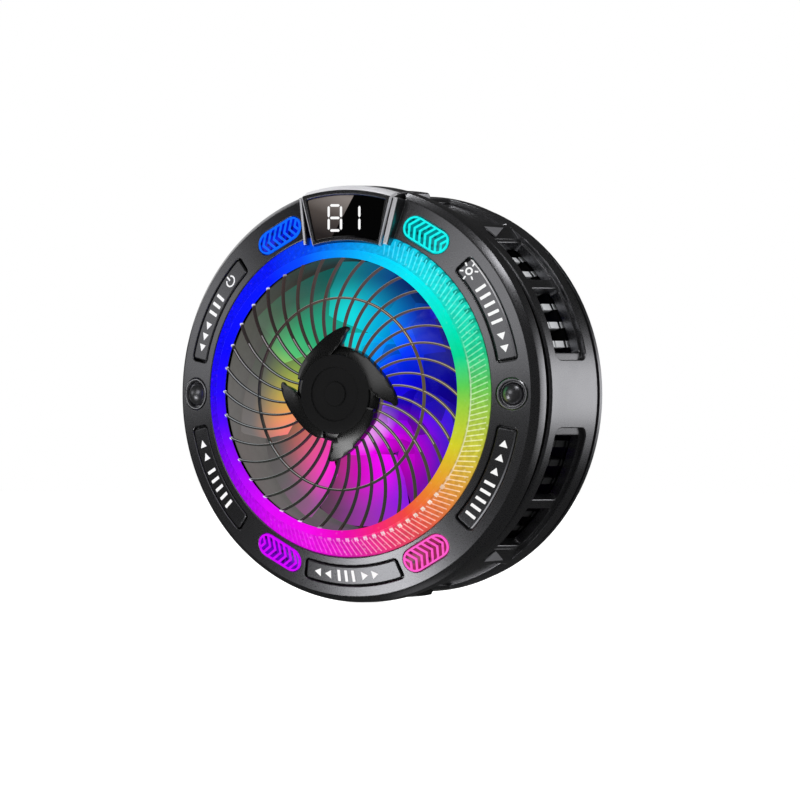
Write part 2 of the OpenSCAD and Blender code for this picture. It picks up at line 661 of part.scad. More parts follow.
rear_cover();
silicone_pad();
magnet_ring();
magnet_shield();
cold_plate();
tec_cold_side();
tec_pellets();
tec_hot_side();
insulator();
heat_sink();
heat_sink_screws();
housing_screws();
mid_housing();
control_board();
usb_shell();
usb_tongue();
ribbon_cable();
fan_frame();
bezel_screws();
motor_board();
stator_core();
stator_coils();
bearing();
shaft();
rotor_yoke();
rotor_magnet();
impeller();
led_board();
leds();
power_switch();
light_switch();
front_ring();
light_ring();
grille();
hub_cap();
display_frame();
display_module();
display_lens();
power_key();
light_key();
panel_lower_left();
panel_lower_right();
panel_bottom();
window_upper_right();
window_upper_left();
window_lower_left();
window_lower_right();
left_stud();
right_stud();
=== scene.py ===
import bmesh
import bpy
import math
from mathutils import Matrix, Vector


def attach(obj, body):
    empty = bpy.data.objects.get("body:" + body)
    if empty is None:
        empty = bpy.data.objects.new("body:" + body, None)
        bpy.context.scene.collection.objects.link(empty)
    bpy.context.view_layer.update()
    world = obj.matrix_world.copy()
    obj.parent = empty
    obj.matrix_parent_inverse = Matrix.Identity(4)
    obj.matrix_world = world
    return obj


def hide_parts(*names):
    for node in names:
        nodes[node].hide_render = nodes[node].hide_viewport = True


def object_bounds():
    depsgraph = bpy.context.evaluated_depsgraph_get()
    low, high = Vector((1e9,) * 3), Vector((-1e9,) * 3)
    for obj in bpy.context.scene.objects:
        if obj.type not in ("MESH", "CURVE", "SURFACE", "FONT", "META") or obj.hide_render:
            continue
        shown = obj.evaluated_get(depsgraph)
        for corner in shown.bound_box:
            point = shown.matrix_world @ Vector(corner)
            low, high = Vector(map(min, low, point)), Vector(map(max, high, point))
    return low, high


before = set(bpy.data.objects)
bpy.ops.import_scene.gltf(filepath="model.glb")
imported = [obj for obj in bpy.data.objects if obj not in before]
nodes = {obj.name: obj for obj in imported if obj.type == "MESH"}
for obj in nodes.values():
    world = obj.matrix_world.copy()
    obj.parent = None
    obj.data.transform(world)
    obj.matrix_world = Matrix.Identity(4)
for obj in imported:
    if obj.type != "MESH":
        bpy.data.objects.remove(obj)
cad_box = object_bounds()

# Sizes of the part in millimetres and degrees: r is a distance from the fan axis, z a height above the
# phone's face
mm = 0.001
front_r = 34.0
bevel_r = 33.13
face_in_r = 26.64
slope = 2.05 / (bevel_r - face_in_r)
tilt = math.atan(slope)
face_t = 1.1
z_wall = 22.65
z_board_top = 24.45
z_wall_top = 24.85
z_bevel = 26.2
z_face = 28.25
z_cone = 29.9
z_hoop = 31.6
z_plate = 31.5
z_cap = 33.1
hoop_r = 23.5
hoop_in_r = 22.24
ring_r = 26.52
hub_plate_r = 7.8
fan_hub_r = 10.0
tip_r = 21.6
z_blade = 18.9
z_blade_top = 28.5
z_hub = 18.6
z_hub_top = 26.9
blades = 7
panel_mid_r = 29.7
panel_w = 3.4
panel_a = 17.75
window_r = 29.4
window_l = 8.8
window_w = 3.9
window_corner = 1.93
stud_at_r = 30.0
stud_r = 2.55
ball_r = 1.95
disp_a = 15.0
disp_in_r = 24.9
lens_r0 = 25.6
lens_r1 = 32.5
ribs = 174
spoke_count = 36
fins = 56


def face_h(r):
    """The height of the sloped front face at radius r."""
    return z_bevel + (bevel_r - r) * slope


# Scene: camera, lamps, floor and world
def linear(code):
    """A colour as a painter writes it, sRGB hex, turned into the linear values that Blender wants."""
    out = []
    for k in (0, 2, 4):
        v = int(code.lstrip("#")[k:k + 2], 16) / 255
        out.append(v / 12.92 if v <= 0.04045 else ((v + 0.055) / 1.055) ** 2.4)
    return (*out, 1.0)


def node(tree, kind, inputs=None, settings=None):
    """Adds one shader node with its inputs and settings.

    An input is a value, a node, which stands for its first output, or a node with the name or number of one
    of its outputs. The settings may be the name of an operation alone.
    """
    n = tree.nodes.new("ShaderNode" + kind)
    if isinstance(settings, str):
        settings = {"operation": settings}
    for k, v in (settings or {}).items():
        setattr(n, k, v)
    for k, v in (inputs or {}).items():
        source, out = v if isinstance(v, tuple) and isinstance(v[0], bpy.types.Node) else (v, 0)
        if isinstance(source, bpy.types.Node):
            tree.links.new(source.outputs[out], n.inputs[k])
        else:
            n.inputs[k].default_value = v
    return n


def stops(ramp, colours):
    """Sets the stops of a colour ramp: (place, sRGB hex)."""
    e = ramp.color_ramp.elements
    while len(e) < len(colours):
        e.new(0.5)
    for s, (place, code) in zip(e, colours):
        s.position = place
        s.color = linear(code)
    return ramp


def blank(name):
    """An empty material and its node tree."""
    m = bpy.data.materials.new(name)
    m.use_nodes = True
    m.node_tree.nodes.clear()
    return m, m.node_tree


# The camera stands three metres off, turned to the part's right, with a very long lens: almost no perspective
aim = Vector((0.0, -0.0122, -0.00098))
azimuth = math.radians(30.7)
distance = 3.0
focal_length = 824.4
back = Vector((math.sin(azimuth), -math.cos(azimuth), 0.0))
camera = bpy.data.cameras.new("camera")
camera.sensor_width = 36
camera.lens = focal_length
camera.clip_start = 0.05
camera.clip_end = 20
camera_object = bpy.data.objects.new("camera", camera)
camera_object.location = aim + back * distance
camera_object.rotation_euler = (-back).to_track_quat("-Z", "Y").to_euler()
bpy.context.scene.collection.objects.link(camera_object)
bpy.context.scene.camera = camera_object
bpy.context.scene.view_settings.view_transform = "Standard"


def softbox(name, way, size, watts):
    """A studio lamp a metre away on one side, turned to the part; the camera doesn't see it."""
    lamp = bpy.data.lights.new(name, "AREA")
    lamp.shape = "RECTANGLE"
    lamp.size, lamp.size_y = size
    lamp.energy = watts
    way = Vector(way).normalized()
    o = bpy.data.objects.new(name, lamp)
    o.location = aim + way
    o.rotation_euler = (-way).to_track_quat("-Z", "Y").to_euler()
    o.visible_camera = False
    bpy.context.scene.collection.objects.link(o)


softbox("low_lamp", (-0.385, -0.775, -0.50), (0.3, 0.3), 1.25)
softbox("key_lamp", (-0.03, -0.95, 0.30), (0.5, 0.5), 0.85)
softbox("left_lamp", (-0.88, -0.44, 0.17), (0.4, 0.35), 0.36)
softbox("top_right_lamp", (0.56, -0.02, 0.83), (0.25, 0.25), 1.0)
softbox("top_lamp", (-0.35, 0.27, 0.90), (0.25, 0.25), 1.7)
softbox("rim_lamp", (-0.70, 0.60, 0.35), (0.5, 0.5), 0.8)
softbox("side_lamp", (0.51, 0.86, 0.02), (0.25, 0.35), 0.45)
softbox("under_lamp", (-0.12, 0.17, -0.98), (0.3, 0.3), 0.1)


def world_of_studio():
    """White all round for the camera and clear plastic; metal sees a dim room with one white sheet behind."""
    sheet_way = (0.51, 0.86, 0.0)
    w = bpy.data.worlds.new("studio")
    w.use_nodes = True
    t = w.node_tree
    t.nodes.clear()
    ray = node(t, "LightPath")
    way = node(t, "TexCoord")
    sheet = node(t, "VectorMath", {1: sheet_way, 0: (way, "Generated")}, "DOT_PRODUCT")
    shine = node(t, "MapRange",
                 {"From Min": 0.93, "From Max": 0.995, "To Min": 0.025, "To Max": 0.9,
                  "Value": (sheet, "Value")}, {"interpolation_type": "SMOOTHSTEP"})
    room = node(t, "Background", {"Color": linear("#f4f4f4"), "Strength": 0.95})
    seen = node(t, "Background", {"Color": (1, 1, 1, 1), "Strength": shine})
    white = node(t, "Background", {"Color": (1, 1, 1, 1), "Strength": 1.0})
    metal = node(t, "MixShader", {0: (ray, "Is Glossy Ray"), 1: room, 2: seen})
    clear_or_camera = node(t, "Math", {0: (ray, "Is Camera Ray"), 1: (ray, "Is Transmission Ray")},
                           "MAXIMUM")
    mix = node(t, "MixShader", {0: clear_or_camera, 1: metal, 2: white})
    node(t, "OutputWorld", {"Surface": mix})
    bpy.context.scene.world = w


world_of_studio()


def floor_of_studio():
    """A wide white sheet under the part that keeps its shadow."""
    bpy.ops.object.select_all(action="DESELECT")
    bpy.ops.mesh.primitive_plane_add(size=6, location=(0, 0, cad_box[0].z - 0.2 * mm))
    floor = bpy.context.object
    floor.name = "floor"
    m, t = blank("white_paper_floor")
    ray = node(t, "LightPath")
    paper = node(t, "BsdfDiffuse", {"Color": linear("#c8c8c8")})
    glow = node(t, "Emission", {"Color": (1, 1, 1, 1), "Strength": 0.9})
    lit = node(t, "AddShader", {0: paper, 1: glow})
    see = node(t, "Math", {0: (ray, "Is Camera Ray"), 1: (ray, "Is Transmission Ray")}, "MAXIMUM")
    mix = node(t, "MixShader", {0: see, 1: paper, 2: lit})
    node(t, "OutputMaterial", {"Surface": mix})
    floor.data.materials.append(m)
    floor.visible_glossy = False
    floor.visible_diffuse = False
    floor.visible_shadow = False


floor_of_studio()


# Modelling: a shape is drawn in millimetres with x right, y up and z out of the face; fitted turns it into
# the part's frame
def clear():
    """Leaves edit mode with nothing selected."""
    if bpy.context.object and bpy.context.object.mode != "OBJECT":
        bpy.ops.object.mode_set(mode="OBJECT")
    bpy.ops.object.select_all(action="DESELECT")


def grab(piece):
    """Makes one piece the only selected and the active one."""
    clear()
    piece.select_set(True)
    bpy.context.view_layer.objects.active = piece
    return piece


def choose(piece, test, kind="faces"):
    """In edit mode, selects the faces, edges or verts of a piece that pass a test."""
    bpy.ops.mesh.select_mode(type={"verts": "VERT", "edges": "EDGE", "faces": "FACE"}[kind])
    bpy.ops.mesh.select_all(action="DESELECT")
    shape = bmesh.from_edit_mesh(piece.data)
    for part in getattr(shape, kind):
        if test(part):
            part.select_set(True)
    shape.select_flush_mode()
    bmesh.update_edit_mesh(piece.data)


def turn(piece, x=0.0, y=0.0, z=0.0):
    """Turns a piece about the origin, in degrees."""
    grab(piece)
    piece.rotation_euler = [math.radians(a) for a in (x, y, z)]
    bpy.ops.object.transform_apply(location=False, rotation=True, scale=False)
    return piece


def shift(piece, x=0.0, y=0.0, z=0.0):
    """Moves a piece, in millimetres."""
    grab(piece)
    piece.location = (x * mm, y * mm, z * mm)
    bpy.ops.object.transform_apply(location=True, rotation=False, scale=False)
    return piece


def twin(piece):
    """A copy with its own mesh."""
    grab(piece)
    bpy.ops.object.duplicate()
    return bpy.context.object


def joined(name, pieces):
    """Joins pieces into the first and names it."""
    grab(pieces[0])
    for p in pieces:
        p.select_set(True)
    if len(pieces) > 1:
        bpy.ops.object.join()
    piece = bpy.context.object
    piece.name = name
    return piece


def spread(piece, angles):
    """Copies of a piece, one for each turn about the fan axis; the first one is turned itself."""
    copies = [twin(piece) for _ in angles[1:]]
    for p, a in zip([piece] + copies, angles):
        turn(p, z=a)
    return [piece] + copies


def drawn(name, corners, fill=True):
    """An outline made by one corner that is extruded from place to place, then closed or filled."""
    clear()
    bpy.ops.mesh.primitive_plane_add(size=mm, location=(0, 0, 0))
    piece = bpy.context.object
    piece.name = name
    bpy.ops.object.mode_set(mode="EDIT")
    bpy.ops.mesh.select_mode(type="VERT")
    bpy.ops.mesh.merge(type="CENTER")
    bpy.ops.transform.translate(value=[c * mm for c in corners[0]])
    for a, b in zip(corners, corners[1:]):
        step = [(q - p) * mm for p, q in zip(a, b)]
        bpy.ops.mesh.extrude_region_move(TRANSFORM_OT_translate={"value": step})
    if fill:
        bpy.ops.mesh.select_all(action="SELECT")
    else:
        ends = {0, len(corners) - 1}
        choose(piece, lambda v: v.index in ends, "verts")
    bpy.ops.mesh.edge_face_add()
    bpy.ops.mesh.select_all(action="SELECT")
    return piece


def tidied(piece):
    """Merges doubles, turns all faces outwards and leaves edit mode."""
    bpy.ops.mesh.select_all(action="SELECT")
    bpy.ops.mesh.remove_doubles(threshold=0.001 * mm)
    bpy.ops.mesh.normals_make_consistent(inside=False)
    bpy.ops.object.mode_set(mode="OBJECT")
    return piece


def turned(name, outline, steps=240):
    """A closed outline of (r, h) corners spun round the fan axis."""
    piece = drawn(name, [(r, 0, h) for r, h in outline], fill=False)
    bpy.ops.mesh.spin(steps=steps, angle=2 * math.pi, center=(0, 0, 0), axis=(0, 0, 1))
    return tidied(piece)


def prism(name, corners, low, high, edge=0.0, sides=2):
    """A filled outline of (x, y) corners drawn up between two heights, its upper edge bevelled."""
    piece = drawn(name, [(x, y, low) for x, y in corners])
    bpy.ops.mesh.select_mode(type="FACE")
    bpy.ops.mesh.extrude_region_move(TRANSFORM_OT_translate={"value": (0, 0, (high - low) * mm)})
    if edge:
        bpy.ops.mesh.region_to_loop()
        bpy.ops.mesh.bevel(offset=edge * mm, segments=sides, affect="EDGES")
    return tidied(piece)


def plate(name, width, depth, thick, corner=0.0, edge=0.0, flare=0.0, above=0.0, slices=1):
    """A plate with its top at zero, its corners rounded and its top edge bevelled.

    A cutting tool flares at its mouth and goes on above it; slices are what lets a plate bend.
    """
    clear()
    bpy.ops.mesh.primitive_plane_add(size=mm, location=(0, 0, 0))
    piece = bpy.context.object
    piece.name = name
    bpy.ops.object.mode_set(mode="EDIT")
    bpy.ops.transform.resize(value=(width, depth, 1), center_override=(0, 0, 0))
    bpy.ops.transform.translate(value=(0, 0, -thick * mm))
    bpy.ops.mesh.select_mode(type="VERT")
    bpy.ops.mesh.select_all(action="SELECT")
    if corner:
        bpy.ops.mesh.bevel(offset=corner * mm, segments=5, affect="VERTICES")
    bpy.ops.mesh.select_mode(type="FACE")
    bpy.ops.mesh.select_all(action="SELECT")
    bpy.ops.mesh.extrude_region_move(TRANSFORM_OT_translate={"value": (0, 0, (thick - flare) * mm)})
    if flare:
        bpy.ops.mesh.extrude_region_move(TRANSFORM_OT_translate={"value": (0, 0, flare * mm)})
        wider = ((width + 2 * flare) / width, (depth + 2 * flare) / depth, 1)
        bpy.ops.transform.resize(value=wider, center_override=(0, 0, 0))
    if above:
        bpy.ops.mesh.extrude_region_move(TRANSFORM_OT_translate={"value": (0, 0, above * mm)})
    if edge:
        bpy.ops.mesh.region_to_loop()
        bpy.ops.mesh.bevel(offset=edge * mm, segments=2, affect="EDGES")
    for k in range(1, slices):
        bpy.ops.mesh.select_all(action="SELECT")
        bpy.ops.mesh.bisect(plane_co=((k / slices - 0.5) * width * mm, 0, 0), plane_no=(1, 0, 0))
    return tidied(piece)


def changed(piece, kind, **settings):
    """Applies one modifier to a piece."""
    grab(piece)
    m = piece.modifiers.new("change", kind)
    for k, v in settings.items():
        setattr(m, k, v)
    bpy.ops.object.modifier_apply(modifier=m.name)
    return piece


def bent(piece, r):
    """Bends a piece that lies along x round an arc of radius r."""
    places = [v.co.x for v in piece.data.vertices]
    angle = -(max(places) - min(places)) / (r * mm)
    return changed(piece, "SIMPLE_DEFORM", deform_method="BEND", deform_axis="Z", angle=angle)


def laid(piece, r, h=None, bend=True, lean=True):
    """Lays a flat piece on the sloped face at 12 o'clock, bent round the fan axis at radius r."""
    if lean:
        turn(piece, x=-math.degrees(tilt))
    if bend:
        bent(piece, r)
    return shift(piece, 0, r, face_h(r) if h is None else h)


def walled(piece, r, h):
    """Wraps a flat piece, x along the arc and y along the fan axis, on a wall of radius r at 12 o'clock."""
    return shift(bent(turn(piece, x=-90), r), 0, r, h)


def swept(name, section, steps, sweep, begin, edge=0.0, above=0.0):
    """A closed section of (r, h) corners turned part of the way round, its ends filled.

    sweep is how far it goes and begin where it begins, in degrees counter-clockwise from 3 o'clock. edge is
    the width of a bevel round both ends, as far as they lie higher than above.
    """
    piece = drawn(name, [(r, 0, h) for r, h in section], fill=False)
    bpy.ops.mesh.spin(steps=steps, angle=math.radians(sweep), center=(0, 0, 0), axis=(0, 0, 1))
    choose(piece, lambda e: len(e.link_faces) == 1, "edges")
    bpy.ops.mesh.fill_holes(sides=0)

    def at_end(e):
        """Tells whether an edge bounds an end and lies high enough."""
        return max(len(f.verts) for f in e.link_faces) > 4 and min(v.co.z for v in e.verts) > above * mm

    if edge:
        choose(piece, at_end, "edges")
        bpy.ops.mesh.bevel(offset=edge * mm, segments=2, affect="EDGES")
    tidied(piece)
    low = min(math.atan2(v.co.y, v.co.x) for v in piece.data.vertices)
    return turn(piece, z=begin - math.degrees(low))


def cut(piece, tools, how="DIFFERENCE"):
    """Cuts a piece with a set of tools, which are used up."""
    tool = joined("tool", tools)
    changed(piece, "BOOLEAN", operation=how, solver="EXACT", object=tool)
    bpy.data.objects.remove(tool)
    return piece


def finish(piece, material):
    """One finish all over a piece."""
    piece.data.materials.clear()
    piece.data.materials.append(material)
    return piece


def touched_up(piece, material, test):
    """A second finish on the faces that pass a test of their middle in mm, its radius and their normal."""
    piece.data.materials.append(material)
    for face in piece.data.polygons:
        middle = face.center / mm
        if test(middle, math.hypot(middle.x, middle.y), face.normal):
            face.material_index = 1
    return piece


def fitted(piece, body, stands_for=(), sharp=30):
    """Turns a finished piece into the part's frame, gives it to its body, hides the CAD nodes it replaces."""
    turn(piece, x=90)
    bpy.ops.object.shade_smooth_by_angle(angle=math.radians(sharp))
    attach(piece, body)
    if stands_for:
        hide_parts(*stands_for)
    return piece


# Materials: the scale of a pattern is the number of its grains or cells to a millimetre
def moulded(name, colour, rough, grain, depth, metal=0.0, mottled=0.12, spec=0.5, edge=0.0):
    """One plain surface: a colour with slight mottling, and a fine grain in its roughness and bump.

    grain is its width and depth its depth, both in mm, and edge the width in mm of the soft rounding that
    catches a thin light line along every edge.
    """
    m, t = blank(name)
    where = (node(t, "TexCoord"), "Object")
    fine = node(t, "TexNoise", {"Scale": 1 / (grain * mm), "Detail": 4.0, "Vector": where})
    broad = node(t, "TexNoise", {"Scale": 0.09 / mm, "Detail": 2.0, "Vector": where})
    r, g, b, _ = linear(colour)
    low = tuple(c * (1 - mottled) for c in (r, g, b)) + (1,)
    high = tuple(min(1, c * (1 + mottled)) for c in (r, g, b)) + (1,)
    ramp = node(t, "ValToRGB", {"Fac": (broad, "Fac")})
    e = ramp.color_ramp.elements
    e[0].position, e[0].color = 0.35, low
    e[1].position, e[1].color = 0.65, high
    shine = node(t, "MapRange",
                 {"To Min": max(0.02, rough - 0.05), "To Max": rough + 0.05, "Value": (fine, "Fac")})
    bump = node(t, "Bump", {"Strength": 0.4, "Distance": depth * mm, "Height": (fine, "Fac")})
    if edge:
        rounding = node(t, "Bevel", {"Radius": edge * mm}, {"samples": 6})
        t.links.new(rounding.outputs[0], bump.inputs["Normal"])
    s = node(t, "BsdfPrincipled",
             {"Metallic": metal, "Specular IOR Level": spec, "Base Color": ramp, "Roughness": shine,
              "Normal": bump})
    node(t, "OutputMaterial", {"Surface": s})
    return m


# Satin metallic paint gives a dark neutral sheen that spreads the lamps into soft bands
gunmetal = moulded("satin_gunmetal_paint", "#7c7c7f", 0.28, 0.12, 0.003, metal=1.0, mottled=0.05, edge=0.18)
rear_metal = moulded("satin_grey_paint", "#7a7a7d", 0.3, 0.12, 0.003, metal=1.0, mottled=0.05, edge=0.15)
panel_paint = moulded("satin_panel_paint", "#747477", 0.28, 0.12, 0.003, metal=1.0, mottled=0.05, edge=0.1)
# Cast silicone and foam look soft: almost no highlight
silicone = moulded("soft_silicone", "#1c1c1e", 0.75, 0.1, 0.01)
foam = moulded("closed_cell_foam", "#242424", 0.9, 0.4, 0.08)
# Brushed, plated and plain bare metals give clear reflections, softer with more roughness
brushed = moulded("brushed_aluminium", "#c8cacd", 0.32, 0.4, 0.004, metal=1.0)
nickel = moulded("nickel_plate", "#c2bfb8", 0.2, 0.4, 0.002, metal=1.0)
steel = moulded("plain_steel", "#9c9ca0", 0.35, 0.3, 0.004, metal=1.0)
bronze = moulded("sintered_bronze", "#a8824c", 0.5, 0.1, 0.01, metal=1.0)
copper = moulded("enamelled_copper_wire", "#b0652f", 0.3, 0.12, 0.02, metal=0.9)
# Fired alumina is a chalky white, cast telluride a dull grey with a metal's gleam
ceramic = moulded("fired_alumina", "#ecebe3", 0.6, 0.1, 0.005)
telluride = moulded("cast_telluride", "#5a5c62", 0.45, 0.2, 0.01, metal=0.8)
# Solder mask and film are glossy skins of even colour
green_board = moulded("green_solder_mask", "#0f5a33", 0.3, 0.5, 0.01)
white_board = moulded("white_solder_mask", "#dcdcd6", 0.4, 0.5, 0.01)
amber_film = moulded("polyimide_film", "#9a6120", 0.3, 0.6, 0.01)
# Moulded nylon has a soft sheen; the package of a lamp is a warm white
dark_nylon = moulded("dark_nylon", "#1f1f20", 0.5, 0.2, 0.01)
lamp_white = moulded("led_package", "#fff6d8", 0.4, 0.2, 0.0)
# Pad-printed paint is flat and bright
white_paint = moulded("white_pad_print", "#fcfcfc", 0.5, 0.2, 0.002, mottled=0.02)
# Moulded black ABS: a long soft highlight on the collar and claws, a dry matt top, and a painted
# highlight: the grey of the inner edges
cap_abs = moulded("semi_gloss_black_abs", "#030303", 0.24, 0.15, 0.002, spec=1.0)
cap_face = moulded("fine_matt_black_abs", "#101011", 0.5, 0.1, 0.004, spec=0.25)
cap_edge_highlight = moulded("black_abs_edge_painted_highlight", "#6a6a6c", 0.3, 0.15, 0.002, spec=0.8)
# Cut and polished metal catches a lamp as a light line or patch; the paler, half diffuse colour of the
# facets on the ramps is a painted highlight
facet_highlight_metal = moulded("gunmetal_facet_painted_highlight", "#8c8c90", 0.4, 0.12, 0.003, metal=0.5, mottled=0.1)
dark_rim = moulded("dark_chrome_rim", "#b4b4b8", 0.25, 0.4, 0.001, metal=1.0)
dark_chrome = moulded("dark_chrome_ball", "#8c8c90", 0.33, 0.4, 0.0, metal=1.0, mottled=0.04)
# Polished edges: real polish, and a pale, half diffuse colour that is a painted highlight
polished_highlight_metal = moulded("polished_gunmetal_painted_highlight", "#e4e4e8", 0.36, 0.3, 0.001, metal=0.6, mottled=0.04,
                         edge=0.12)
# Painted shade: a flat black laid in the joint under the front ring and on the boss side at 6 o'clock
painted_shade_black = moulded("painted_shade_flat_black", "#050505", 0.7, 0.1, 0.004, spec=0.2)


def polar(tree):
    """Where a point is seen from the front.

    Gives its object coordinates, its clock angle as 0 to 1 from 9 o'clock round by 6, 3 and 12, its distance
    from the fan axis in mm, and its coordinates one by one.
    """
    where = (node(tree, "TexCoord"), "Object")
    parts = node(tree, "SeparateXYZ", {0: where})
    flat = node(tree, "CombineXYZ", {"X": (parts, "X"), "Y": (parts, "Z")})
    angle = node(tree, "TexGradient", {"Vector": flat}, {"gradient_type": "RADIAL"})
    length = node(tree, "VectorMath", {0: flat}, "LENGTH")
    radius = node(tree, "Math", {1: 1 / mm, 0: (length, "Value")}, "MULTIPLY")
    return where, (angle, "Fac"), radius, parts


def hours(ramp, colours):
    """Sets a ramp's stops from colours by the hours of a clock face."""
    places = []
    for hour, code in colours.items():
        places.append((((90 - 30 * hour) / 360 + 0.5) % 1.0, code))
        if hour == 9:
            places.append((1.0, code))
    return stops(ramp, sorted(places))


rainbow = {12: "#0090f4", 12.6: "#00c4f4", 1.2: "#00e4ee", 1.9: "#00e2c4", 2.5: "#00d08c", 2.9: "#58c850",
           3.2: "#98c83c", 3.7: "#ccc828", 4.1: "#dca428", 4.5: "#e47a2c", 4.9: "#e8443c", 5.4: "#ee2070",
           5.9: "#e400a8", 6.5: "#ee00e6", 7.2: "#d800f4", 8.0: "#9400f4", 8.6: "#4c00f6", 9: "#2400fa",
           9.6: "#0600ff", 10.8: "#0014ff", 11.4: "#0048fa"}


def lit_ring_acrylic(name, gain, pale, dots, sparkle, plain=1.0):
    """Clear acrylic lit from behind, its colour running round the clock.

    gain is its level and pale how far a painted highlight takes it to white on the right, from about 3 to 6
    o'clock. dots adds painted glints, the bright beads where cone and hoop meet and a light line along that
    seam, and also the dark dashes at the rim. sparkle is the share of bright flecks and dark cells of its cut
    inner side, and plain the level that is left on the left, away from the painted highlight.
    """
    m, t = blank(name)
    where, angle, radius, _ = polar(t)
    colour = hours(node(t, "ValToRGB", {"Fac": angle}), rainbow)
    # Where the painted highlight lies and the ribs stand out most: the right side, from 3 to 6 o'clock
    highlit_side = hours(node(t, "ValToRGB", {"Fac": angle}), {
        12: "#383838", 12.5: "#a0a0a0", 2.2: "#b0b0b0", 3.4: "#ffffff", 5.4: "#ffffff", 6.4: "#808080",
        7.4: "#141414", 9: "#000000", 11.2: "#101010"})
    fine = node(t, "TexNoise", {"Scale": 1.5 / mm, "Detail": 3.0, "Vector": where})
    cells = node(t, "TexVoronoi", {"Scale": 0.8 / mm, "Vector": where}, {"feature": "F1"})
    uneven = node(t, "MapRange",
                  {"From Min": 0.35, "From Max": 0.65, "To Min": gain * (1 - sparkle),
                   "To Max": gain * (1 + 0.2 * sparkle), "Value": (fine, "Fac")})
    share = node(t, "MapRange", {"From Max": 0.3, "To Min": plain, "To Max": 1.0, "Value": highlit_side})
    level = node(t, "Math", {0: uneven, 1: share}, "MULTIPLY")
    fleck = node(t, "MapRange",
                 {"From Min": 0.2, "From Max": 0.08, "To Min": 0.0, "To Max": sparkle,
                  "Value": (cells, "Distance")})
    # Painted highlight: the ring goes paler on its right side
    ring_painted_highlight = node(t, "Math", {1: pale, 0: highlit_side}, "MULTIPLY")
    bright = node(t, "Math", {0: ring_painted_highlight, 1: fleck}, {"operation": "ADD", "use_clamp": True})
    if dots:
        seam_r, seam_reach, bead_reach, rim_r = hoop_r + 0.3, 0.1, 0.28, 25.75
        count = node(t, "Math", {1: ribs / 2, 0: angle}, "MULTIPLY")
        part = node(t, "Math", {1: 0.5, 0: count}, "PINGPONG")
        bead = node(t, "Math", {1: 0.2, 0: part}, "LESS_THAN")
        away = node(t, "Math", {1: seam_r, 0: radius}, "SUBTRACT")
        near = node(t, "Math", {0: away}, "ABSOLUTE")
        band = node(t, "Math", {1: bead_reach, 0: near}, "LESS_THAN")
        spot = node(t, "Math", {0: bead, 1: band}, "MULTIPLY")
        # Painted glints: bright beads along the seam from about 4:30 to 6 o'clock
        glint_beads_at = hours(node(t, "ValToRGB", {"Fac": angle}), {
            12: "#000000", 4.0: "#000000", 4.5: "#ffffff", 5.8: "#ffffff", 6.5: "#404040", 6.9: "#000000",
            9: "#000000"})
        lit = node(t, "Math", {0: spot, 1: glint_beads_at}, "MULTIPLY")
        bright = node(t, "Math", {0: bright, 1: lit}, "MAXIMUM")
        seam = node(t, "Math", {1: seam_reach, 0: near}, "LESS_THAN")
        # Painted glint: a light line along the seam from about 3 to 4 o'clock
        glint_seam_at = hours(node(t, "ValToRGB", {"Fac": angle}), {
            12: "#000000", 2.2: "#000000", 2.8: "#c0c0c0", 4.2: "#c0c0c0", 4.6: "#000000", 9: "#000000"})
        line = node(t, "Math", {0: seam, 1: glint_seam_at}, "MULTIPLY")
        bright = node(t, "Math", {0: bright, 1: line}, "MAXIMUM")
        rim = node(t, "Math", {1: rim_r, 0: radius}, "GREATER_THAN")
        dash = node(t, "Math", {0: bead, 1: rim}, "MULTIPLY")
        dashes_at = hours(node(t, "ValToRGB", {"Fac": angle}), {
            12: "#000000", 12.4: "#000000", 12.6: "#ffffff", 2.0: "#ffffff", 2.6: "#000000", 9: "#000000"})
        dashed = node(t, "Math", {0: dash, 1: dashes_at}, "MULTIPLY")
        hold = node(t, "MapRange", {"To Min": 1.0, "To Max": 0.4, "Value": dashed})
        level = node(t, "Math", {0: level, 1: hold}, "MULTIPLY")
    fleck_and_highlight_tint = hours(node(t, "ValToRGB", {"Fac": angle}), {
        12: "#80f0ff", 1.5: "#d0ffff", 3: "#fffff0", 5: "#fff4e8", 6: "#ffd8ff", 7.4: "#ff50ff",
        9: "#a020ff", 10.5: "#6040ff", 11.4: "#40a0ff"})
    tint = node(t, "Mix", {0: bright, 6: colour, 7: fleck_and_highlight_tint}, {"data_type": "RGBA"})
    body = node(t, "Mix", {0: 0.85, 7: linear("#000000"), 6: colour}, {"data_type": "RGBA"})
    s = node(t, "BsdfPrincipled",
             {"Roughness": 0.3, "Specular IOR Level": 0.08, "Base Color": (body, 2),
              "Emission Color": (tint, 2), "Emission Strength": level})
    node(t, "OutputMaterial", {"Surface": s})
    return m


ring_hoop = lit_ring_acrylic("lit_acrylic_hoop", 0.95, 0.0, False, 0.05)
ring_ground = lit_ring_acrylic("lit_acrylic_cone", 0.86, 0.04, True, 0.24)
ring_rib = lit_ring_acrylic("lit_acrylic_rib", 1.1, 0.4, False, 0.2, plain=0.72)


def lit_window(name, code, gain, dark):
    """Clear acrylic of a corner window, lit by one lamp: brighter ribs on a ground with dark cells."""
    m, t = blank(name)
    where = (node(t, "TexCoord"), "Object")
    cells = node(t, "TexVoronoi", {"Scale": 1.1 / mm, "Vector": where}, {"feature": "F1"})
    level = node(t, "MapRange",
                 {"From Min": 0.22, "From Max": 0.42, "To Min": gain * dark, "To Max": gain,
                  "Value": (cells, "Distance")})
    r, g, b, _ = linear(code)
    s = node(t, "BsdfPrincipled",
             {"Base Color": (r * 0.1, g * 0.1, b * 0.1, 1), "Roughness": 0.2, "Specular IOR Level": 0.25,
              "Emission Color": linear(code), "Emission Strength": level})
    node(t, "OutputMaterial", {"Surface": s})
    return m


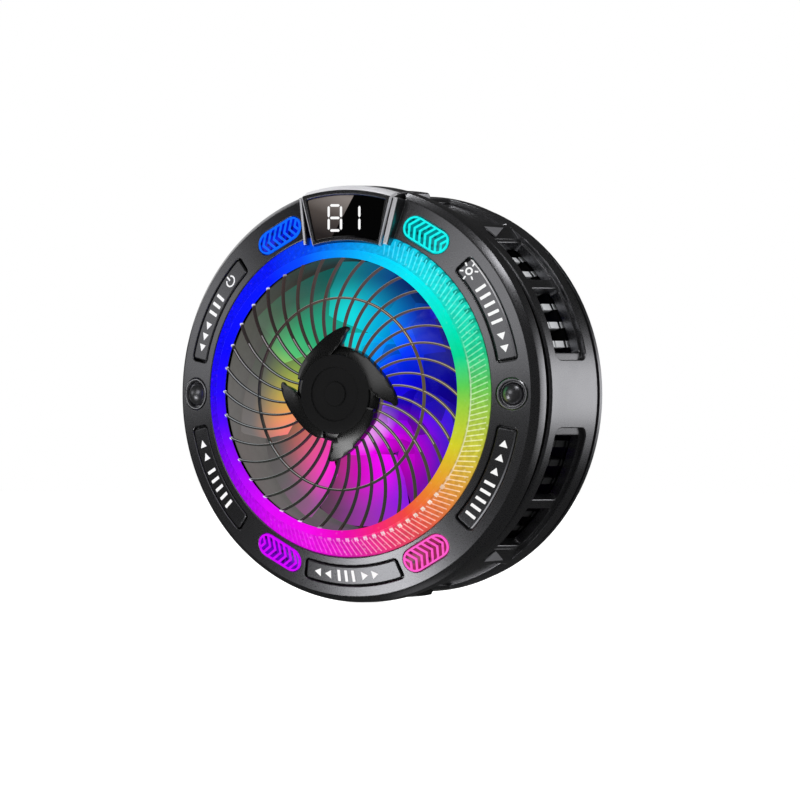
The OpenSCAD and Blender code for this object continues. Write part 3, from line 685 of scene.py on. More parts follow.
glow_cyan = lit_window("lit_cyan_rib", "#00f4f0", 0.95, 0.8)
ground_cyan = lit_window("lit_cyan_ground", "#0098a0", 0.6, 0.04)
glow_blue = lit_window("lit_blue_rib", "#0868ff", 0.95, 0.8)
ground_blue = lit_window("lit_blue_ground", "#0018e0", 0.8, 0.15)
glow_violet = lit_window("lit_violet_rib", "#d400ff", 0.95, 0.8)
ground_violet = lit_window("lit_violet_ground", "#7800c8", 0.65, 0.1)
glow_pink = lit_window("lit_pink_rib", "#ff50c8", 0.95, 0.85)
ground_pink = lit_window("lit_pink_ground", "#b03464", 0.6, 0.12)


def tinted_blade():
    """Clear moulded polycarbonate: light runs out from the hub, colour by the clock, to grey tips."""
    facets_round, facets_per_mm = 26.0, 0.22
    glow_low_r, glow_high_r, glow_aside = 8.6 * mm, 10.4 * mm, 1.2 * mm
    m, t = blank("clear_polycarbonate_painted_glints")
    where, angle, radius, parts = polar(t)
    inner = hours(node(t, "ValToRGB", {"Fac": angle}), {
        12: "#10e4e8", 0.6: "#00c8ff", 1.1: "#0090ff", 1.8: "#0038ff", 2.6: "#0808ff", 3.3: "#2800ff",
        3.9: "#9c00ff", 4.6: "#f000ff", 5.6: "#ff00ff", 6.4: "#ff10e0", 7.2: "#ff4cb0", 7.9: "#ff7884",
        8.5: "#f4a060", 9: "#e0c450", 9.5: "#b4cc58", 10.0: "#58c474", 10.6: "#2cb880", 11.3: "#1cc4a8"})
    outer = hours(node(t, "ValToRGB", {"Fac": angle}), {
        12: "#0e7880", 0.7: "#08489c", 1.6: "#0810a8", 3: "#1c10cc", 4.2: "#5414d8", 5.2: "#9a1ce0",
        6: "#b43cc4", 6.8: "#905a84", 7.6: "#747070", 9: "#76726e", 10.4: "#4a6650", 11.3: "#1c6c64"})
    reach = node(t, "MapRange", {"From Min": 12.5, "From Max": 20.0, "Value": radius},
                 {"interpolation_type": "SMOOTHSTEP"})
    colour = node(t, "Mix", {0: reach, 6: inner, 7: outer}, {"data_type": "RGBA"})
    turns = node(t, "Math", {1: facets_round, 0: angle}, "MULTIPLY")
    outwards = node(t, "Math", {1: facets_per_mm, 0: radius}, "MULTIPLY")
    chart = node(t, "CombineXYZ", {"X": turns, "Y": outwards})
    facet = node(t, "TexVoronoi", {"Scale": 1.0, "Vector": chart},
                 {"feature": "F1", "voronoi_dimensions": "2D"})
    tone = node(t, "SeparateXYZ", {0: (facet, "Color")})
    # Painted glints: the facets light up on the right side only, from 1 to 4 o'clock
    painted_glint_at = hours(node(t, "ValToRGB", {"Fac": angle}), {
        12: "#202020", 1: "#ffffff", 4: "#ffffff", 5.2: "#303030", 9: "#101010"})
    spread_of = node(t, "MapRange", {"To Min": 0.4, "To Max": 1.15, "Value": (tone, "X")})
    glint = node(t, "Mix", {2: 1.0, 0: painted_glint_at, 3: spread_of}, {"data_type": "FLOAT"})
    # Painted shade: the blades are darker deeper in the duct, towards their back
    depth = node(t, "MapRange",
                 {"From Min": -z_blade * mm, "From Max": -(z_blade_top - 0.5) * mm, "To Min": 0.38,
                  "To Max": 1.05, "Value": (parts, "Y")})
    level = node(t, "Math", {0: depth, 1: glint}, "MULTIPLY")
    # Painted pool of white light at the blade roots, near 5 o'clock and from 8 to 11 o'clock
    beside = node(t, "VectorMath", {1: (1, 0, 1), 2: (glow_aside, 0, 0), 0: where}, "MULTIPLY_ADD")
    leak = node(t, "VectorMath", {0: beside}, "LENGTH")
    root = node(t, "MapRange", {"From Min": glow_high_r, "From Max": glow_low_r, "Value": (leak, "Value")})
    root_light_at = hours(node(t, "ValToRGB", {"Fac": angle}), {
        12: "#000000", 3.4: "#000000", 4.4: "#909090", 5.2: "#a0a0a0", 6: "#000000", 7.6: "#000000",
        8.4: "#b0b0b0", 9: "#e0e0e0", 9.8: "#e0e0e0", 10.8: "#404040", 11.4: "#000000"})
    glow = node(t, "Math", {0: root, 1: root_light_at}, "MULTIPLY")
    colour = node(t, "Mix", {7: linear("#ffffff"), 0: glow, 6: (colour, 2)}, {"data_type": "RGBA"})
    s = node(t, "BsdfPrincipled",
             {"Roughness": 0.3, "Specular IOR Level": 0.12, "Base Color": linear("#101014"),
              "Emission Color": (colour, 2), "Emission Strength": level})
    clear_part = node(t, "BsdfTransparent", {"Color": linear("#8888a8")})
    mix = node(t, "MixShader", {0: 0.9, 1: clear_part, 2: s})
    node(t, "OutputMaterial", {"Surface": mix})
    return m


blade_pc = tinted_blade()


def lens_painted_glare():
    """Smoked acrylic, black, with a painted reflection of a lamp on its left: a slanting edge, paler upwards.
    """
    edge_lean, edge_low, glare_from, glare_to = -0.615, 21.52 * mm, 2.9 * mm, 3.0 * mm
    fade_lean, fade_from, fade_to = 0.3, 24.5 * mm, 31.8 * mm
    m, t = blank("smoked_acrylic_painted_glare")
    where = (node(t, "TexCoord"), "Object")
    parts = node(t, "SeparateXYZ", {0: where})
    lean = node(t, "Math", {1: edge_lean, 2: edge_low, 0: (parts, "Z")}, "MULTIPLY_ADD")
    across = node(t, "Math", {0: (parts, "X"), 1: lean}, "ADD")
    glare_side = node(t, "MapRange", {"From Min": glare_to, "From Max": glare_from, "Value": across})
    slant = node(t, "Math", {1: fade_lean, 0: (parts, "X"), 2: (parts, "Z")}, "MULTIPLY_ADD")
    rise = node(t, "MapRange", {"From Min": fade_from, "From Max": fade_to, "Value": slant})
    # Painted reflection: the tones of the glare, paler upwards
    glare = stops(node(t, "ValToRGB", {"Fac": rise}), [(0.0, "#2a2523"), (0.5, "#4e4743"), (1.0, "#8a827e")])
    colour = node(t, "Mix", {6: linear("#020202"), 0: glare_side, 7: glare}, {"data_type": "RGBA"})
    s = node(t, "BsdfPrincipled", {"Roughness": 0.05, "Specular IOR Level": 0.4, "Base Color": (colour, 2)})
    node(t, "OutputMaterial", {"Surface": s})
    return m


smoked_lens_glare = lens_painted_glare()


def lit_plain(name, code, gain):
    """A small lit mark behind the lens: white with a soft unevenness of its lamp."""
    m, t = blank(name)
    where = (node(t, "TexCoord"), "Object")
    fine = node(t, "TexNoise", {"Scale": 0.7 / mm, "Vector": where})
    level = node(t, "MapRange", {"To Min": gain * 0.9, "To Max": gain, "Value": (fine, "Fac")})
    s = node(t, "BsdfPrincipled",
             {"Base Color": linear("#303030"), "Roughness": 0.3, "Emission Color": linear(code),
              "Emission Strength": level})
    node(t, "OutputMaterial", {"Surface": s})
    return m


digit_light = lit_plain("lit_digit_segment", "#ffffff", 1.0)


def clock_painted_glow(name, colours, gain, base, rough, metal=0.0, tips=False):
    """Moulded plastic round the fan with a little of the ring's light painted on, colour by the clock.

    The painted light stops at the outside of the duct and below its floor; tips adds a painted flare where a
    spoke meets the hoop.
    """
    floor_h = z_hub - 1.2
    m, t = blank(name)
    where, angle, radius, parts = polar(t)
    colour = hours(node(t, "ValToRGB", {"Fac": angle}), colours)
    fine = node(t, "TexNoise", {"Scale": 0.9 / mm, "Detail": 2.0, "Vector": where})
    uneven = node(t, "MapRange", {"To Min": gain * 0.85, "To Max": gain * 1.1, "Value": (fine, "Fac")})
    above = node(t, "Math", {1: -floor_h * mm, 0: (parts, "Y")}, "LESS_THAN")
    inside = node(t, "Math", {1: hoop_in_r + 0.2, 0: radius}, "LESS_THAN")
    reached = node(t, "Math", {0: above, 1: inside}, "MULTIPLY")
    level = node(t, "Math", {0: reached, 1: uneven}, "MULTIPLY")
    if tips:
        near = node(t, "MapRange",
                    {"From Min": hoop_in_r - 0.34, "From Max": hoop_in_r - 0.12, "Value": radius})
        where_lit = hours(node(t, "ValToRGB", {"Fac": angle}), {
            12: "#000000", 6: "#000000", 6.6: "#ffffff", 9: "#ffffff", 10.8: "#ffffff", 11.3: "#000000"})
        flare = node(t, "Math", {0: near, 1: where_lit}, "MULTIPLY")
        colour = node(t, "Mix", {7: linear("#f0ecff"), 0: flare, 6: colour}, {"data_type": "RGBA"})
        level = node(t, "Math", {0: level, 1: flare}, "MAXIMUM")
    rounding = node(t, "Bevel", {"Radius": 0.1 * mm}, {"samples": 4})
    bump = node(t, "Bump",
                {"Strength": 0.3, "Distance": 0.004 * mm, "Height": (fine, "Fac"), "Normal": rounding})
    s = node(t, "BsdfPrincipled",
             {"Base Color": linear(base), "Roughness": rough, "Metallic": metal,
              "Emission Color": (colour, 2 if tips else 0), "Emission Strength": level, "Normal": bump})
    node(t, "OutputMaterial", {"Surface": s})
    return m


def painted_sheen_metal():
    """A painted highlight, white at the top right, grey further round, on brushed metal: a panel's edge
    streak.
    """
    m, t = blank("bevel_painted_highlight")
    where, angle, *_ = polar(t)
    colour = hours(node(t, "ValToRGB", {"Fac": angle}), {
        12: "#ffffff", 1.5: "#fafafa", 1.9: "#c8c8cc", 2.3: "#707074", 3.4: "#404042", 3.7: "#58585c",
        4.1: "#a0a0a4", 4.6: "#c4c4c8", 6: "#8c8c90", 9: "#606064"})
    brushed = node(t, "TexNoise", {"Scale": 1.4 / mm, "Detail": 2.0, "Vector": where})
    rough = node(t, "MapRange", {"To Min": 0.3, "To Max": 0.45, "Value": (brushed, "Fac")})
    s = node(t, "BsdfPrincipled", {"Metallic": 0.15, "Base Color": colour, "Roughness": rough})
    node(t, "OutputMaterial", {"Surface": s})
    return m


bevel_painted_sheen = painted_sheen_metal()

# Moulded ABS of the duct and the grille with the ring's light painted on, and a painted highlight on the
# upper edges of its spokes
duct_wall_with_glow = clock_painted_glow("grey_duct_abs_painted_glow", {
    12: "#083c44", 1: "#04203c", 2: "#060850", 3: "#100c8c", 4.5: "#3c0c94", 5.5: "#58147c", 6.2: "#584a5c",
    7: "#686664", 9: "#6c6a68", 10: "#54524e", 11: "#34322e"}, 0.8, "#3c3c3e", 0.4)
grille_glow_abs = clock_painted_glow("satin_grille_abs_painted_glow", {
    12: "#5c4844", 1.5: "#5c4c3c", 3: "#6a5e42", 4.5: "#3e4430", 6: "#222c20", 7.5: "#182420", 9: "#141c24",
    10.5: "#301e20"}, 0.7, "#38342f", 0.22, 0.5, tips=True)
grille_edge_highlight = clock_painted_glow("grille_edge_painted_highlight", {
    12: "#8c7a74", 3: "#b0a47c", 4.5: "#7c8468", 6: "#68746c", 7.5: "#70787c", 9: "#80868c",
    10.5: "#84747c"}, 0.9, "#8c8884", 0.25, 0.5)


def fin_metal():
    """Milled aluminium fins with painted light: bright ends in the vents, painted shade further in."""
    fins_to, bars_from, shade_r, bright_r = 6.7 * mm, 7.4 * mm, 28.2, 29.2
    m, t = blank("aluminium_fins_painted_light_and_shade")
    where, angle, radius, parts = polar(t)
    grain = node(t, "TexNoise", {"Scale": 2.5 / mm, "Detail": 3.0, "Vector": where})
    above = node(t, "Math", {1: -bars_from, 0: (parts, "Y")}, "LESS_THAN")
    out_at = node(t, "MapRange", {"From Min": shade_r, "From Max": bright_r, "Value": radius})
    below = node(t, "Math", {1: -fins_to, 0: (parts, "Y")}, "GREATER_THAN")
    count = node(t, "Math", {1: fins, 0: angle}, "MULTIPLY")
    part = node(t, "Math", {1: 0.5, 0: count}, "PINGPONG")
    tooth = node(t, "Math", {1: 0.333, 0: part}, "GREATER_THAN")
    teeth = node(t, "Math", {0: below, 1: tooth}, "MULTIPLY")
    blocks = node(t, "Math", {0: above, 1: teeth}, "MAXIMUM")
    depth = node(t, "Math", {0: blocks, 1: out_at}, "MULTIPLY")
    # Painted reflection: bright blocks at the fin ends in the vents; painted shade deeper in
    tone = stops(node(t, "ValToRGB", {"Fac": depth}), [(0.0, "#0a0a0b"), (0.8, "#8c8e90"), (1.0, "#fafcff")])
    # Painted shade: darker from about 3 to 6 o'clock
    painted_shade_at = hours(node(t, "ValToRGB", {"Fac": angle}), {
        12: "#ffffff", 3: "#ffffff", 3.3: "#303030", 5.6: "#303030", 6: "#ffffff", 9: "#ffffff"})
    tone = node(t, "Mix", {0: 1.0, 6: tone, 7: painted_shade_at}, {"data_type": "RGBA", "blend_type": "MULTIPLY"})
    shine = node(t, "MapRange", {"To Min": 0.32, "To Max": 0.45, "Value": (grain, "Fac")})
    s = node(t, "BsdfPrincipled", {"Metallic": 0.25, "Base Color": (tone, 2), "Roughness": shine})
    node(t, "OutputMaterial", {"Surface": s})
    return m


shaded_fins = fin_metal()


# Front ring: a turned shell with pockets for the panels, windows, studs and display
panels = {"power_key": 152, "light_key": 28, "panel_lower_left": 208, "panel_lower_right": 332,
          "panel_bottom": 270}
windows = {"window_upper_right": 61.8, "window_upper_left": 118.2, "window_lower_left": 241.8,
           "window_lower_right": 298.2}
arc = 2 * math.radians(panel_a) * panel_mid_r
lean_w = panel_w / math.cos(tilt)


def front_ring():
    """The shell with its pockets, and on either side of the display a cheek with a painted highlight."""
    ring = turned("front_ring_shell", [
        (29.4, z_wall), (33.8, z_wall), (front_r, z_wall + 0.2), (front_r, z_wall_top - 0.2),
        (33.94, z_wall_top + 0.1), (33.28, z_bevel - 0.23), (33.02, face_h(33.02)), (26.8, face_h(26.8)),
        (face_in_r, z_face - 0.12), (face_in_r, z_face - face_t), (32.0, face_h(32.0) - face_t),
        (32.6, z_board_top), (32.6, 23.45), (29.4, 23.45)], 360)
    tools = []
    for name, clock in panels.items():
        deep = 3.0 if name.endswith("key") else 0.9
        tool = plate("tool", arc, lean_w, deep, 0.75, flare=0.1, above=1.5, slices=24)
        tools.append(turn(laid(tool, panel_mid_r), z=clock - 90))
    for clock in windows.values():
        tool = plate("tool", window_l + 0.3, window_w + 0.3, 3.0, window_corner + 0.16, flare=0.1, above=1.0)
        tools.append(turn(laid(tool, window_r, bend=False), z=clock - 90))
    for clock in (0, 180):
        wide = 2 * stud_r + 0.2
        tool = plate("tool", wide, wide, 3.0, 2.64, flare=0.1, above=1.0)
        tools.append(turn(laid(tool, stud_at_r, bend=False), z=clock - 90))
    cut(ring, tools)
    notch = plate("tool", 2 * math.radians(disp_a + 0.5) * 30, 14, 8.0, flare=0.55, above=3.0, slices=16)
    cut(ring, [laid(notch, 30.0)])
    finish(ring, gunmetal)
    cheeks = []
    for width, x in ((1.0, 8.35), (0.6, -8.3)):
        cheek = turn(plate("cheek", width, 7.9, 3.4, edge=0.24), x=-7.2)
        cheeks.append(shift(turn(cheek, z=math.copysign(10.8, -x)), x=x, y=28.2, z=29.47))
    # Painted highlight: the upper faces of the cheeks are the pale polished metal, their sides gunmetal
    for cheek in cheeks:
        touched_up(finish(cheek, polished_highlight_metal), gunmetal, lambda at, r, way: way.z < 0.55)
    return fitted(joined("front_ring_shell", [ring] + cheeks), "housing", ["front_ring"],
                  sharp=12)


front_ring()


# Marks: painted bars, arrows and signs, all drawn flat and laid on the panels
mark_deep = 0.05
mark_high = 0.03


def bar():
    """A bar along a radius."""
    return laid(plate("bar", 0.52, 1.95, 0.08, 0.1, above=mark_high), panel_mid_r, bend=False)


def arrow(way):
    """A small triangle; way 1 points clockwise, -1 the other way."""
    tip, tail_x, half = 0.62 * way, -0.55 * way, 0.72
    outline = [(tail_x, -half), (tip, 0), (tail_x, half)]
    return laid(prism("arrow", outline, -mark_deep, mark_high), panel_mid_r, bend=False)


def power_sign():
    """A broken circle with a stroke through its gap, its top outwards."""
    outline = []
    for r, ends in ((1.0, range(125, 416, 15)), (0.74, range(410, 124, -15))):
        outline += [(r * math.cos(math.radians(a)), r * math.sin(math.radians(a))) for a in ends]
    loop = prism("loop", outline, -mark_deep, mark_high)
    stroke = shift(plate("stroke", 0.27, 0.95, mark_deep, above=mark_high), y=0.68)
    return laid(joined("power_sign", [loop, stroke]), panel_mid_r, bend=False)


def light_sign():
    """A small ring with six rays."""
    outer, inner = 0.66, 0.36
    ring = turned("ring", [
        (outer, -mark_deep), (outer, mark_high), (inner, mark_high), (inner, -mark_deep)], 24)
    ray = shift(plate("ray", 0.26, 0.62, mark_deep, above=mark_high), y=1.28)
    rays = spread(ray, [a * 60 + 15 for a in range(6)])
    return laid(joined("light_sign", [ring] + rays), panel_mid_r, bend=False)


def marks(name, body, bars_at, ahead_at=(), back_at=(), sign=None):
    """The marks of one panel at their angles: bars, arrows clockwise or the other way, and a sign."""
    parts = spread(bar(), [a - 90 for a in bars_at])
    if ahead_at:
        parts += spread(arrow(1), [a - 90 for a in ahead_at])
    if back_at:
        parts += spread(arrow(-1), [a - 90 for a in back_at])
    if sign:
        parts.append(turn(sign[0](), z=sign[1] - 90))
    piece = finish(joined(name, parts), white_paint)
    return fitted(piece, body)


marks("power_key_marks", "power_key", (148, 150.8, 153.6), back_at=(158, 161.6, 165.2),
      sign=(power_sign, 141.6))
marks("light_key_marks", "light_key", (35.4, 32.4, 29.4, 26.4, 23.4), ahead_at=(18.4, 14.4),
      sign=(light_sign, 42.2))
marks("panel_bottom_marks", "housing", (265, 267.6, 270.2), ahead_at=(257.2, 261), back_at=(274.4, 278.2))
marks("panel_lower_right_marks", "housing", (318.6, 321.6, 324.6, 327.6, 330.6), back_at=(335, 339.6, 344.2))
marks("panel_lower_left_marks", "housing", (217.2, 214.2, 211.2, 208.2, 205.2), ahead_at=(200.2, 196))


# Panels: five curved plates with rounded corners and a bevelled rim; two are push keys with flange and stem
def panel(name, clock):
    """One panel, drawn at 12 o'clock; the two on the right get a painted highlight on their outer bevel."""
    key = name.endswith("key")
    top = plate(name, arc - 0.6, lean_w - 0.3, 1.6 if key else 0.6, 0.55, edge=0.26, slices=24)
    parts = [laid(top, panel_mid_r)]
    if key:
        flange = plate("flange", arc + 1.0, lean_w + 0.7, 0.35, 0.6, slices=24)
        parts.append(laid(shift(flange, z=-1.26), panel_mid_r))
        stem = turned("stem", [(0, 25.2), (0.6, 25.2), (0.7, 25.3), (0.7, 25.9), (0, 25.9)], 24)
        parts.append(shift(stem, y=panel_mid_r))
    piece = finish(joined(name + "_plate", parts), panel_paint)
    # Painted highlight: a streak on the outer bevel of the two panels on the right
    if clock in (28, 332):
        streak_r, streak_h = panel_mid_r + 1.32, face_h(panel_mid_r + 1.7) - 0.3
        touched_up(piece, bevel_painted_sheen, lambda at, r, way: r > streak_r and at.z > streak_h)
    return fitted(turn(piece, z=clock - 90), name if key else "housing", [name], sharp=12)


for name, clock in panels.items():
    panel(name, clock)


# Corner windows: a lit pill with raised chevrons that all point counter-clockwise
def window(name, glow, ground):
    """One window: its ground, and its rim and chevrons in a brighter acrylic."""
    base = finish(plate("base", window_l, window_w, 1.3, window_corner, edge=0.12), ground)
    shift(base, z=-0.12)
    chevrons = []
    for k in range(8):
        x = -3.75 + 1.12 * k
        outline = [(x, 0), (x + 1.15, 1.95), (x + 1.6, 1.95), (x + 0.45, 0), (x + 1.6, -1.95),
                   (x + 1.15, -1.95)]
        chevrons.append(prism("chevron", outline, -0.6, 0.02, 0.05, 1))
    rim = plate("rim", window_l, window_w, 0.3, window_corner, above=0.06)
    cut(rim, [plate("hole", window_l - 0.6, window_w - 0.6, 0.8, window_corner - 0.3, above=0.5)])
    bars = joined("bars", chevrons)
    keep = plate("keep", window_l - 0.3, window_w - 0.3, 1.0, window_corner - 0.15, above=0.5)
    cut(bars, [keep], "INTERSECT")
    piece = joined(name + "_lens", [base, finish(rim, glow), finish(bars, glow)])
    return fitted(turn(laid(piece, window_r, bend=False), z=windows[name] - 90), "housing", [name])


window("window_upper_right", glow_cyan, ground_cyan)
window("window_upper_left", glow_blue, ground_blue)
window("window_lower_left", glow_violet, ground_violet)
window("window_lower_right", glow_pink, ground_pink)


# Studs: a polished ball in a cup
def stud(name, clock):
    """One stud, drawn at 12 o'clock: the ball is a dome whose middle is sunk under the face."""
    sunk = 1.1
    cup = turned("cup", [
        (stud_r, -1.2), (stud_r, 0.0), (2.46, 0.09), (2.3, 0.09), (2.14, -0.1), (2.05, -0.75), (0, -0.75),
        (0, -1.2)], 64)
    slopes = [math.radians(a) for a in range(10, 90, 8)]
    dome = [(ball_r * math.cos(a), -sunk + ball_r * math.sin(a)) for a in slopes]
    ball = turned("ball", dome + [(0, ball_r - sunk), (0, -0.74)], 64)
    piece = joined(name + "_ball", [finish(ball, dark_chrome), finish(cup, dark_rim)])
    return fitted(turn(laid(piece, stud_at_r, bend=False), z=clock - 90), "housing", [name])


stud("right_stud", 0)
stud("left_stud", 180)


# Light ring: a turned cone and hoop with leaning ribs on the cone, cut back for the display
def light_ring():
    """The shell and its ribs, both left out under the display."""
    ring = turned("light_ring_shell", [
        (hoop_in_r, z_hoop - 0.12), (hoop_in_r + 0.12, z_hoop), (hoop_r - 0.15, z_hoop),
        (hoop_r, z_hoop - 0.15), (hoop_r, z_cone), (ring_r, z_face + 0.06), (ring_r, z_face - 1.1),
        (25.9, z_face - 1.1), (25.9, 24.55), (24.9, 24.55), (24.9, z_face - 1.1), (hoop_r, z_face - 0.2),
        (hoop_r - 0.6, z_face - 0.2), (hoop_r - 0.6, 30.75), (hoop_in_r, 30.75)])
    notch = plate("tool", 2 * math.radians(disp_a + 0.4) * 28, 6.6, 8.0, above=4.0, slices=16)
    cut(ring, [laid(notch, 28.0, z_face, lean=False)])

    def on_hoop(at, r, way):
        """Tells whether a face belongs to the hoop inside the cone."""
        return r < hoop_r + 0.02 and at.z > z_cone - 0.3

    touched_up(finish(ring, ring_ground), ring_hoop, on_hoop)
    cone = math.degrees(math.atan((z_cone - z_face - 0.06) / (ring_r - hoop_r)))
    lean = 21
    rib = plate("rib", 0.2, 3.0, 0.1, edge=0.05, above=0.08)
    turn(rib, z=lean)
    turn(rib, x=-cone)
    shift(rib, y=25.05, z=z_cone - 0.82)
    grab(rib)
    bpy.ops.object.mode_set(mode="EDIT")
    bpy.ops.mesh.select_all(action="SELECT")
    round_to = 2 * math.pi * (ribs - 1) / ribs
    bpy.ops.mesh.spin(steps=ribs - 1, dupli=True, angle=round_to, center=(0, 0, 0), axis=(0, 0, 1))

    def under_display(face):
        """Tells whether a rib's face lies in the stretch that the display takes."""
        middle = face.calc_center_median()
        return abs(math.degrees(math.atan2(middle.x, middle.y))) < disp_a + 1.4

    choose(rib, under_display)
    bpy.ops.mesh.delete(type="FACE")
    bpy.ops.object.mode_set(mode="OBJECT")
    finish(rib, ring_rib)
    piece = joined("light_ring_lens", [ring, rib])
    return fitted(piece, "housing", ["light_ring"])


light_ring()


# Impeller: a hollow drum with seven pitched blades, each with a little twist from root to tip
def impeller():
    """The drum and its blades, which are cut to the room between hub and duct."""
    pitch, twist = 26, -14
    drum = turned("impeller_drum", [
        (9.1, z_hub), (fan_hub_r, z_hub), (fan_hub_r, z_hub_top - 1.1), (9.85, z_hub_top - 0.6),
        (9.45, z_hub_top - 0.2), (8.9, z_hub_top), (0.8, z_hub_top), (0.8, z_hub_top - 1.2),
        (9.1, z_hub_top - 1.2)], 120)
    blade = plate("blade", 12.2, 23.5, 0.95, edge=0.2, slices=8)
    changed(blade, "SIMPLE_DEFORM", deform_method="TWIST", deform_axis="X", angle=math.radians(twist))
    shift(turn(blade, x=pitch), x=15.85, z=(z_blade + z_blade_top) / 2)
    fan = joined("blades", spread(blade, [12 + k * 360 / blades for k in range(blades)]))
    room = turned("room", [(9.6, z_blade), (tip_r, z_blade), (tip_r, z_blade_top), (9.6, z_blade_top)], 180)
    cut(fan, [room], "INTERSECT")
    piece = finish(joined("impeller_fan", [drum, fan]), blade_pc)
    return fitted(piece, "impeller", ["impeller"])


impeller()


# Hub cap: a flat button on a round collar, with four hooked claws that slope down to their tips
def hub_cap():
    """The button and its collar; a claw is drawn flat by its polar outline and cut by a dome."""
    cap = turned("hub_cap_shell", [
        (0, z_plate), (hub_plate_r, z_plate), (hub_plate_r, z_plate + 0.3),
        (hub_plate_r - 0.15, z_plate + 0.55), (7.2, z_plate + 0.85), (6.75, z_plate + 1.0),
        (6.5, z_plate + 1.05), (6.5, z_cap - 0.22), (6.4, z_cap - 0.06), (6.2, z_cap), (4.5, z_cap),
        (4.4, z_cap - 0.07), (4.4, z_cap - 0.2), (2.0, z_cap - 0.2), (2.0, z_cap - 0.07), (1.9, z_cap),
        (0, z_cap)], 96)
    touched_up(finish(cap, cap_abs), cap_face, lambda at, r, way: at.z > z_cap - 0.25)
    outer = [(7.6, 80), (8.0, 70), (8.17, 60), (8.33, 50), (8.6, 40), (8.95, 32), (9.4, 25.4), (9.8, 19.6),
             (10.16, 14.7), (10.55, 10.2), (10.85, 6.3), (11.05, 3.0), (11.12, 0.8), (11.05, -1.0),
             (10.85, -1.8), (10.6, -1.6)]
    inner = [(10.1, 0.4), (9.6, 1.0), (9.07, 1.8), (8.55, 2.9), (8.07, 4.6), (7.55, 7.2), (7.1, 10.4),
             (6.6, 14.4), (6.2, 18.0), (5.7, 22.0), (5.7, 50), (5.7, 78)]
    outline = [(r * math.cos(math.radians(a)), r * math.sin(math.radians(a))) for r, a in outer + inner]
    claw = prism("claw", outline, z_plate - 0.25, z_cap + 1)
    claws = joined("claws", spread(claw, [k * 90 - 8.6 for k in range(4)]))
    dome = [(0, -0.4), (12, -0.4), (11.6, -0.05), (11.0, 0.22), (10.2, 0.5), (9.2, 0.82), (8.2, 1.12),
            (7.2, 1.38), (6.2, 1.5), (0, 1.5)]
    cut(claws, [turned("dome", [(r, z_plate + h) for r, h in dome], 96)], "INTERSECT")
    changed(claws, "BEVEL", width=0.24 * mm, segments=2, limit_method="ANGLE", angle_limit=math.radians(40))

    def highlit_inner_edge(at, r, way):
        """Tells whether a face is on the bevel that looks at the fan axis, where a highlight is painted."""
        return way.x * at.x + way.y * at.y < -0.1 * at.length and 0.2 < way.z < 0.9

    # Painted highlight: the inner bevels of the claws are a lighter grey
    touched_up(finish(claws, cap_abs), cap_edge_highlight, highlit_inner_edge)
    piece = joined("hub_cap_claws", [cap, claws])
    return fitted(piece, "housing", ["hub_cap"])


hub_cap()


# Display block: a spun block with bevelled sides, a smoked lens and two lit digits
def display():
    """The block, its lens and its digits, all drawn at 12 o'clock."""
    block = swept("display_block", [
        (disp_in_r, z_board_top + 0.02), (disp_in_r, 29.3), (disp_in_r + 0.2, 29.5), (33.05, 29.5),
        (33.3, 29.3), (33.9, 27.8), (front_r, 27.4), (front_r, z_wall), (31.2, z_wall),
        (31.2, z_board_top + 0.02)], 20, 2 * disp_a, 90 - disp_a, edge=0.32, above=24.6)
    lens_r = (lens_r0 + lens_r1) / 2
    lens_w = 2 * math.radians(disp_a - 1.5) * lens_r
    tool = plate("tool", lens_w, lens_r1 - lens_r0, 1.3, 0.35, flare=0.15, above=1.0, slices=16)
    cut(block, [laid(tool, lens_r, 29.5, lean=False)])

    def bright_edge(at, r, way):
        """Tells whether a face is on the polished outer rim or a side bevel, both with a painted highlight.
        """
        aside = abs(math.degrees(math.atan2(at.x, at.y))) > disp_a - 0.9 and 0.2 < way.z < 0.95
        return (r > 33.2 or aside) and at.z > 27.3

    touched_up(finish(block, gunmetal), polished_highlight_metal, bright_edge)
    fitted(block, "housing", ["display_frame"], sharp=20)
    lens = plate("display_lens_glass", lens_w - 0.16, lens_r1 - lens_r0 - 0.16, 0.6, 0.3, edge=0.08,
                 slices=16)
    finish(laid(lens, lens_r, 29.2, lean=False), smoked_lens_glare)
    fitted(lens, "housing", ["display_lens"])
    digit_y, digit_low, digit_high = 28.7, 29.18, 29.225
    upright = [(-0.21, -0.72), (0, -0.93), (0.21, -0.72), (0.21, 0.72), (0, 0.93), (-0.21, 0.72)]
    high = shift(prism("segment", upright, digit_low, digit_high), y=digit_y)
    parts = []
    for x, y in ((-3.42, 1.02), (-1.08, 1.02), (-3.42, -1.02), (-1.08, -1.02), (2.4, 1.02), (2.4, -1.02)):
        parts.append(shift(twin(high), x=x, y=y))
    flat = [(-0.93, 0), (-0.72, -0.21), (0.72, -0.21), (0.93, 0), (0.72, 0.21), (-0.72, 0.21)]
    wide = prism("segment", flat, digit_low, digit_high)
    for y in (digit_y - 2.04, digit_y, digit_y + 2.04):
        parts.append(shift(twin(wide), x=-2.25, y=y))
    for spare in (high, wide):
        bpy.data.objects.remove(spare)
    digits = finish(joined("display_digits", parts), digit_light)
    fitted(digits, "housing")


display()


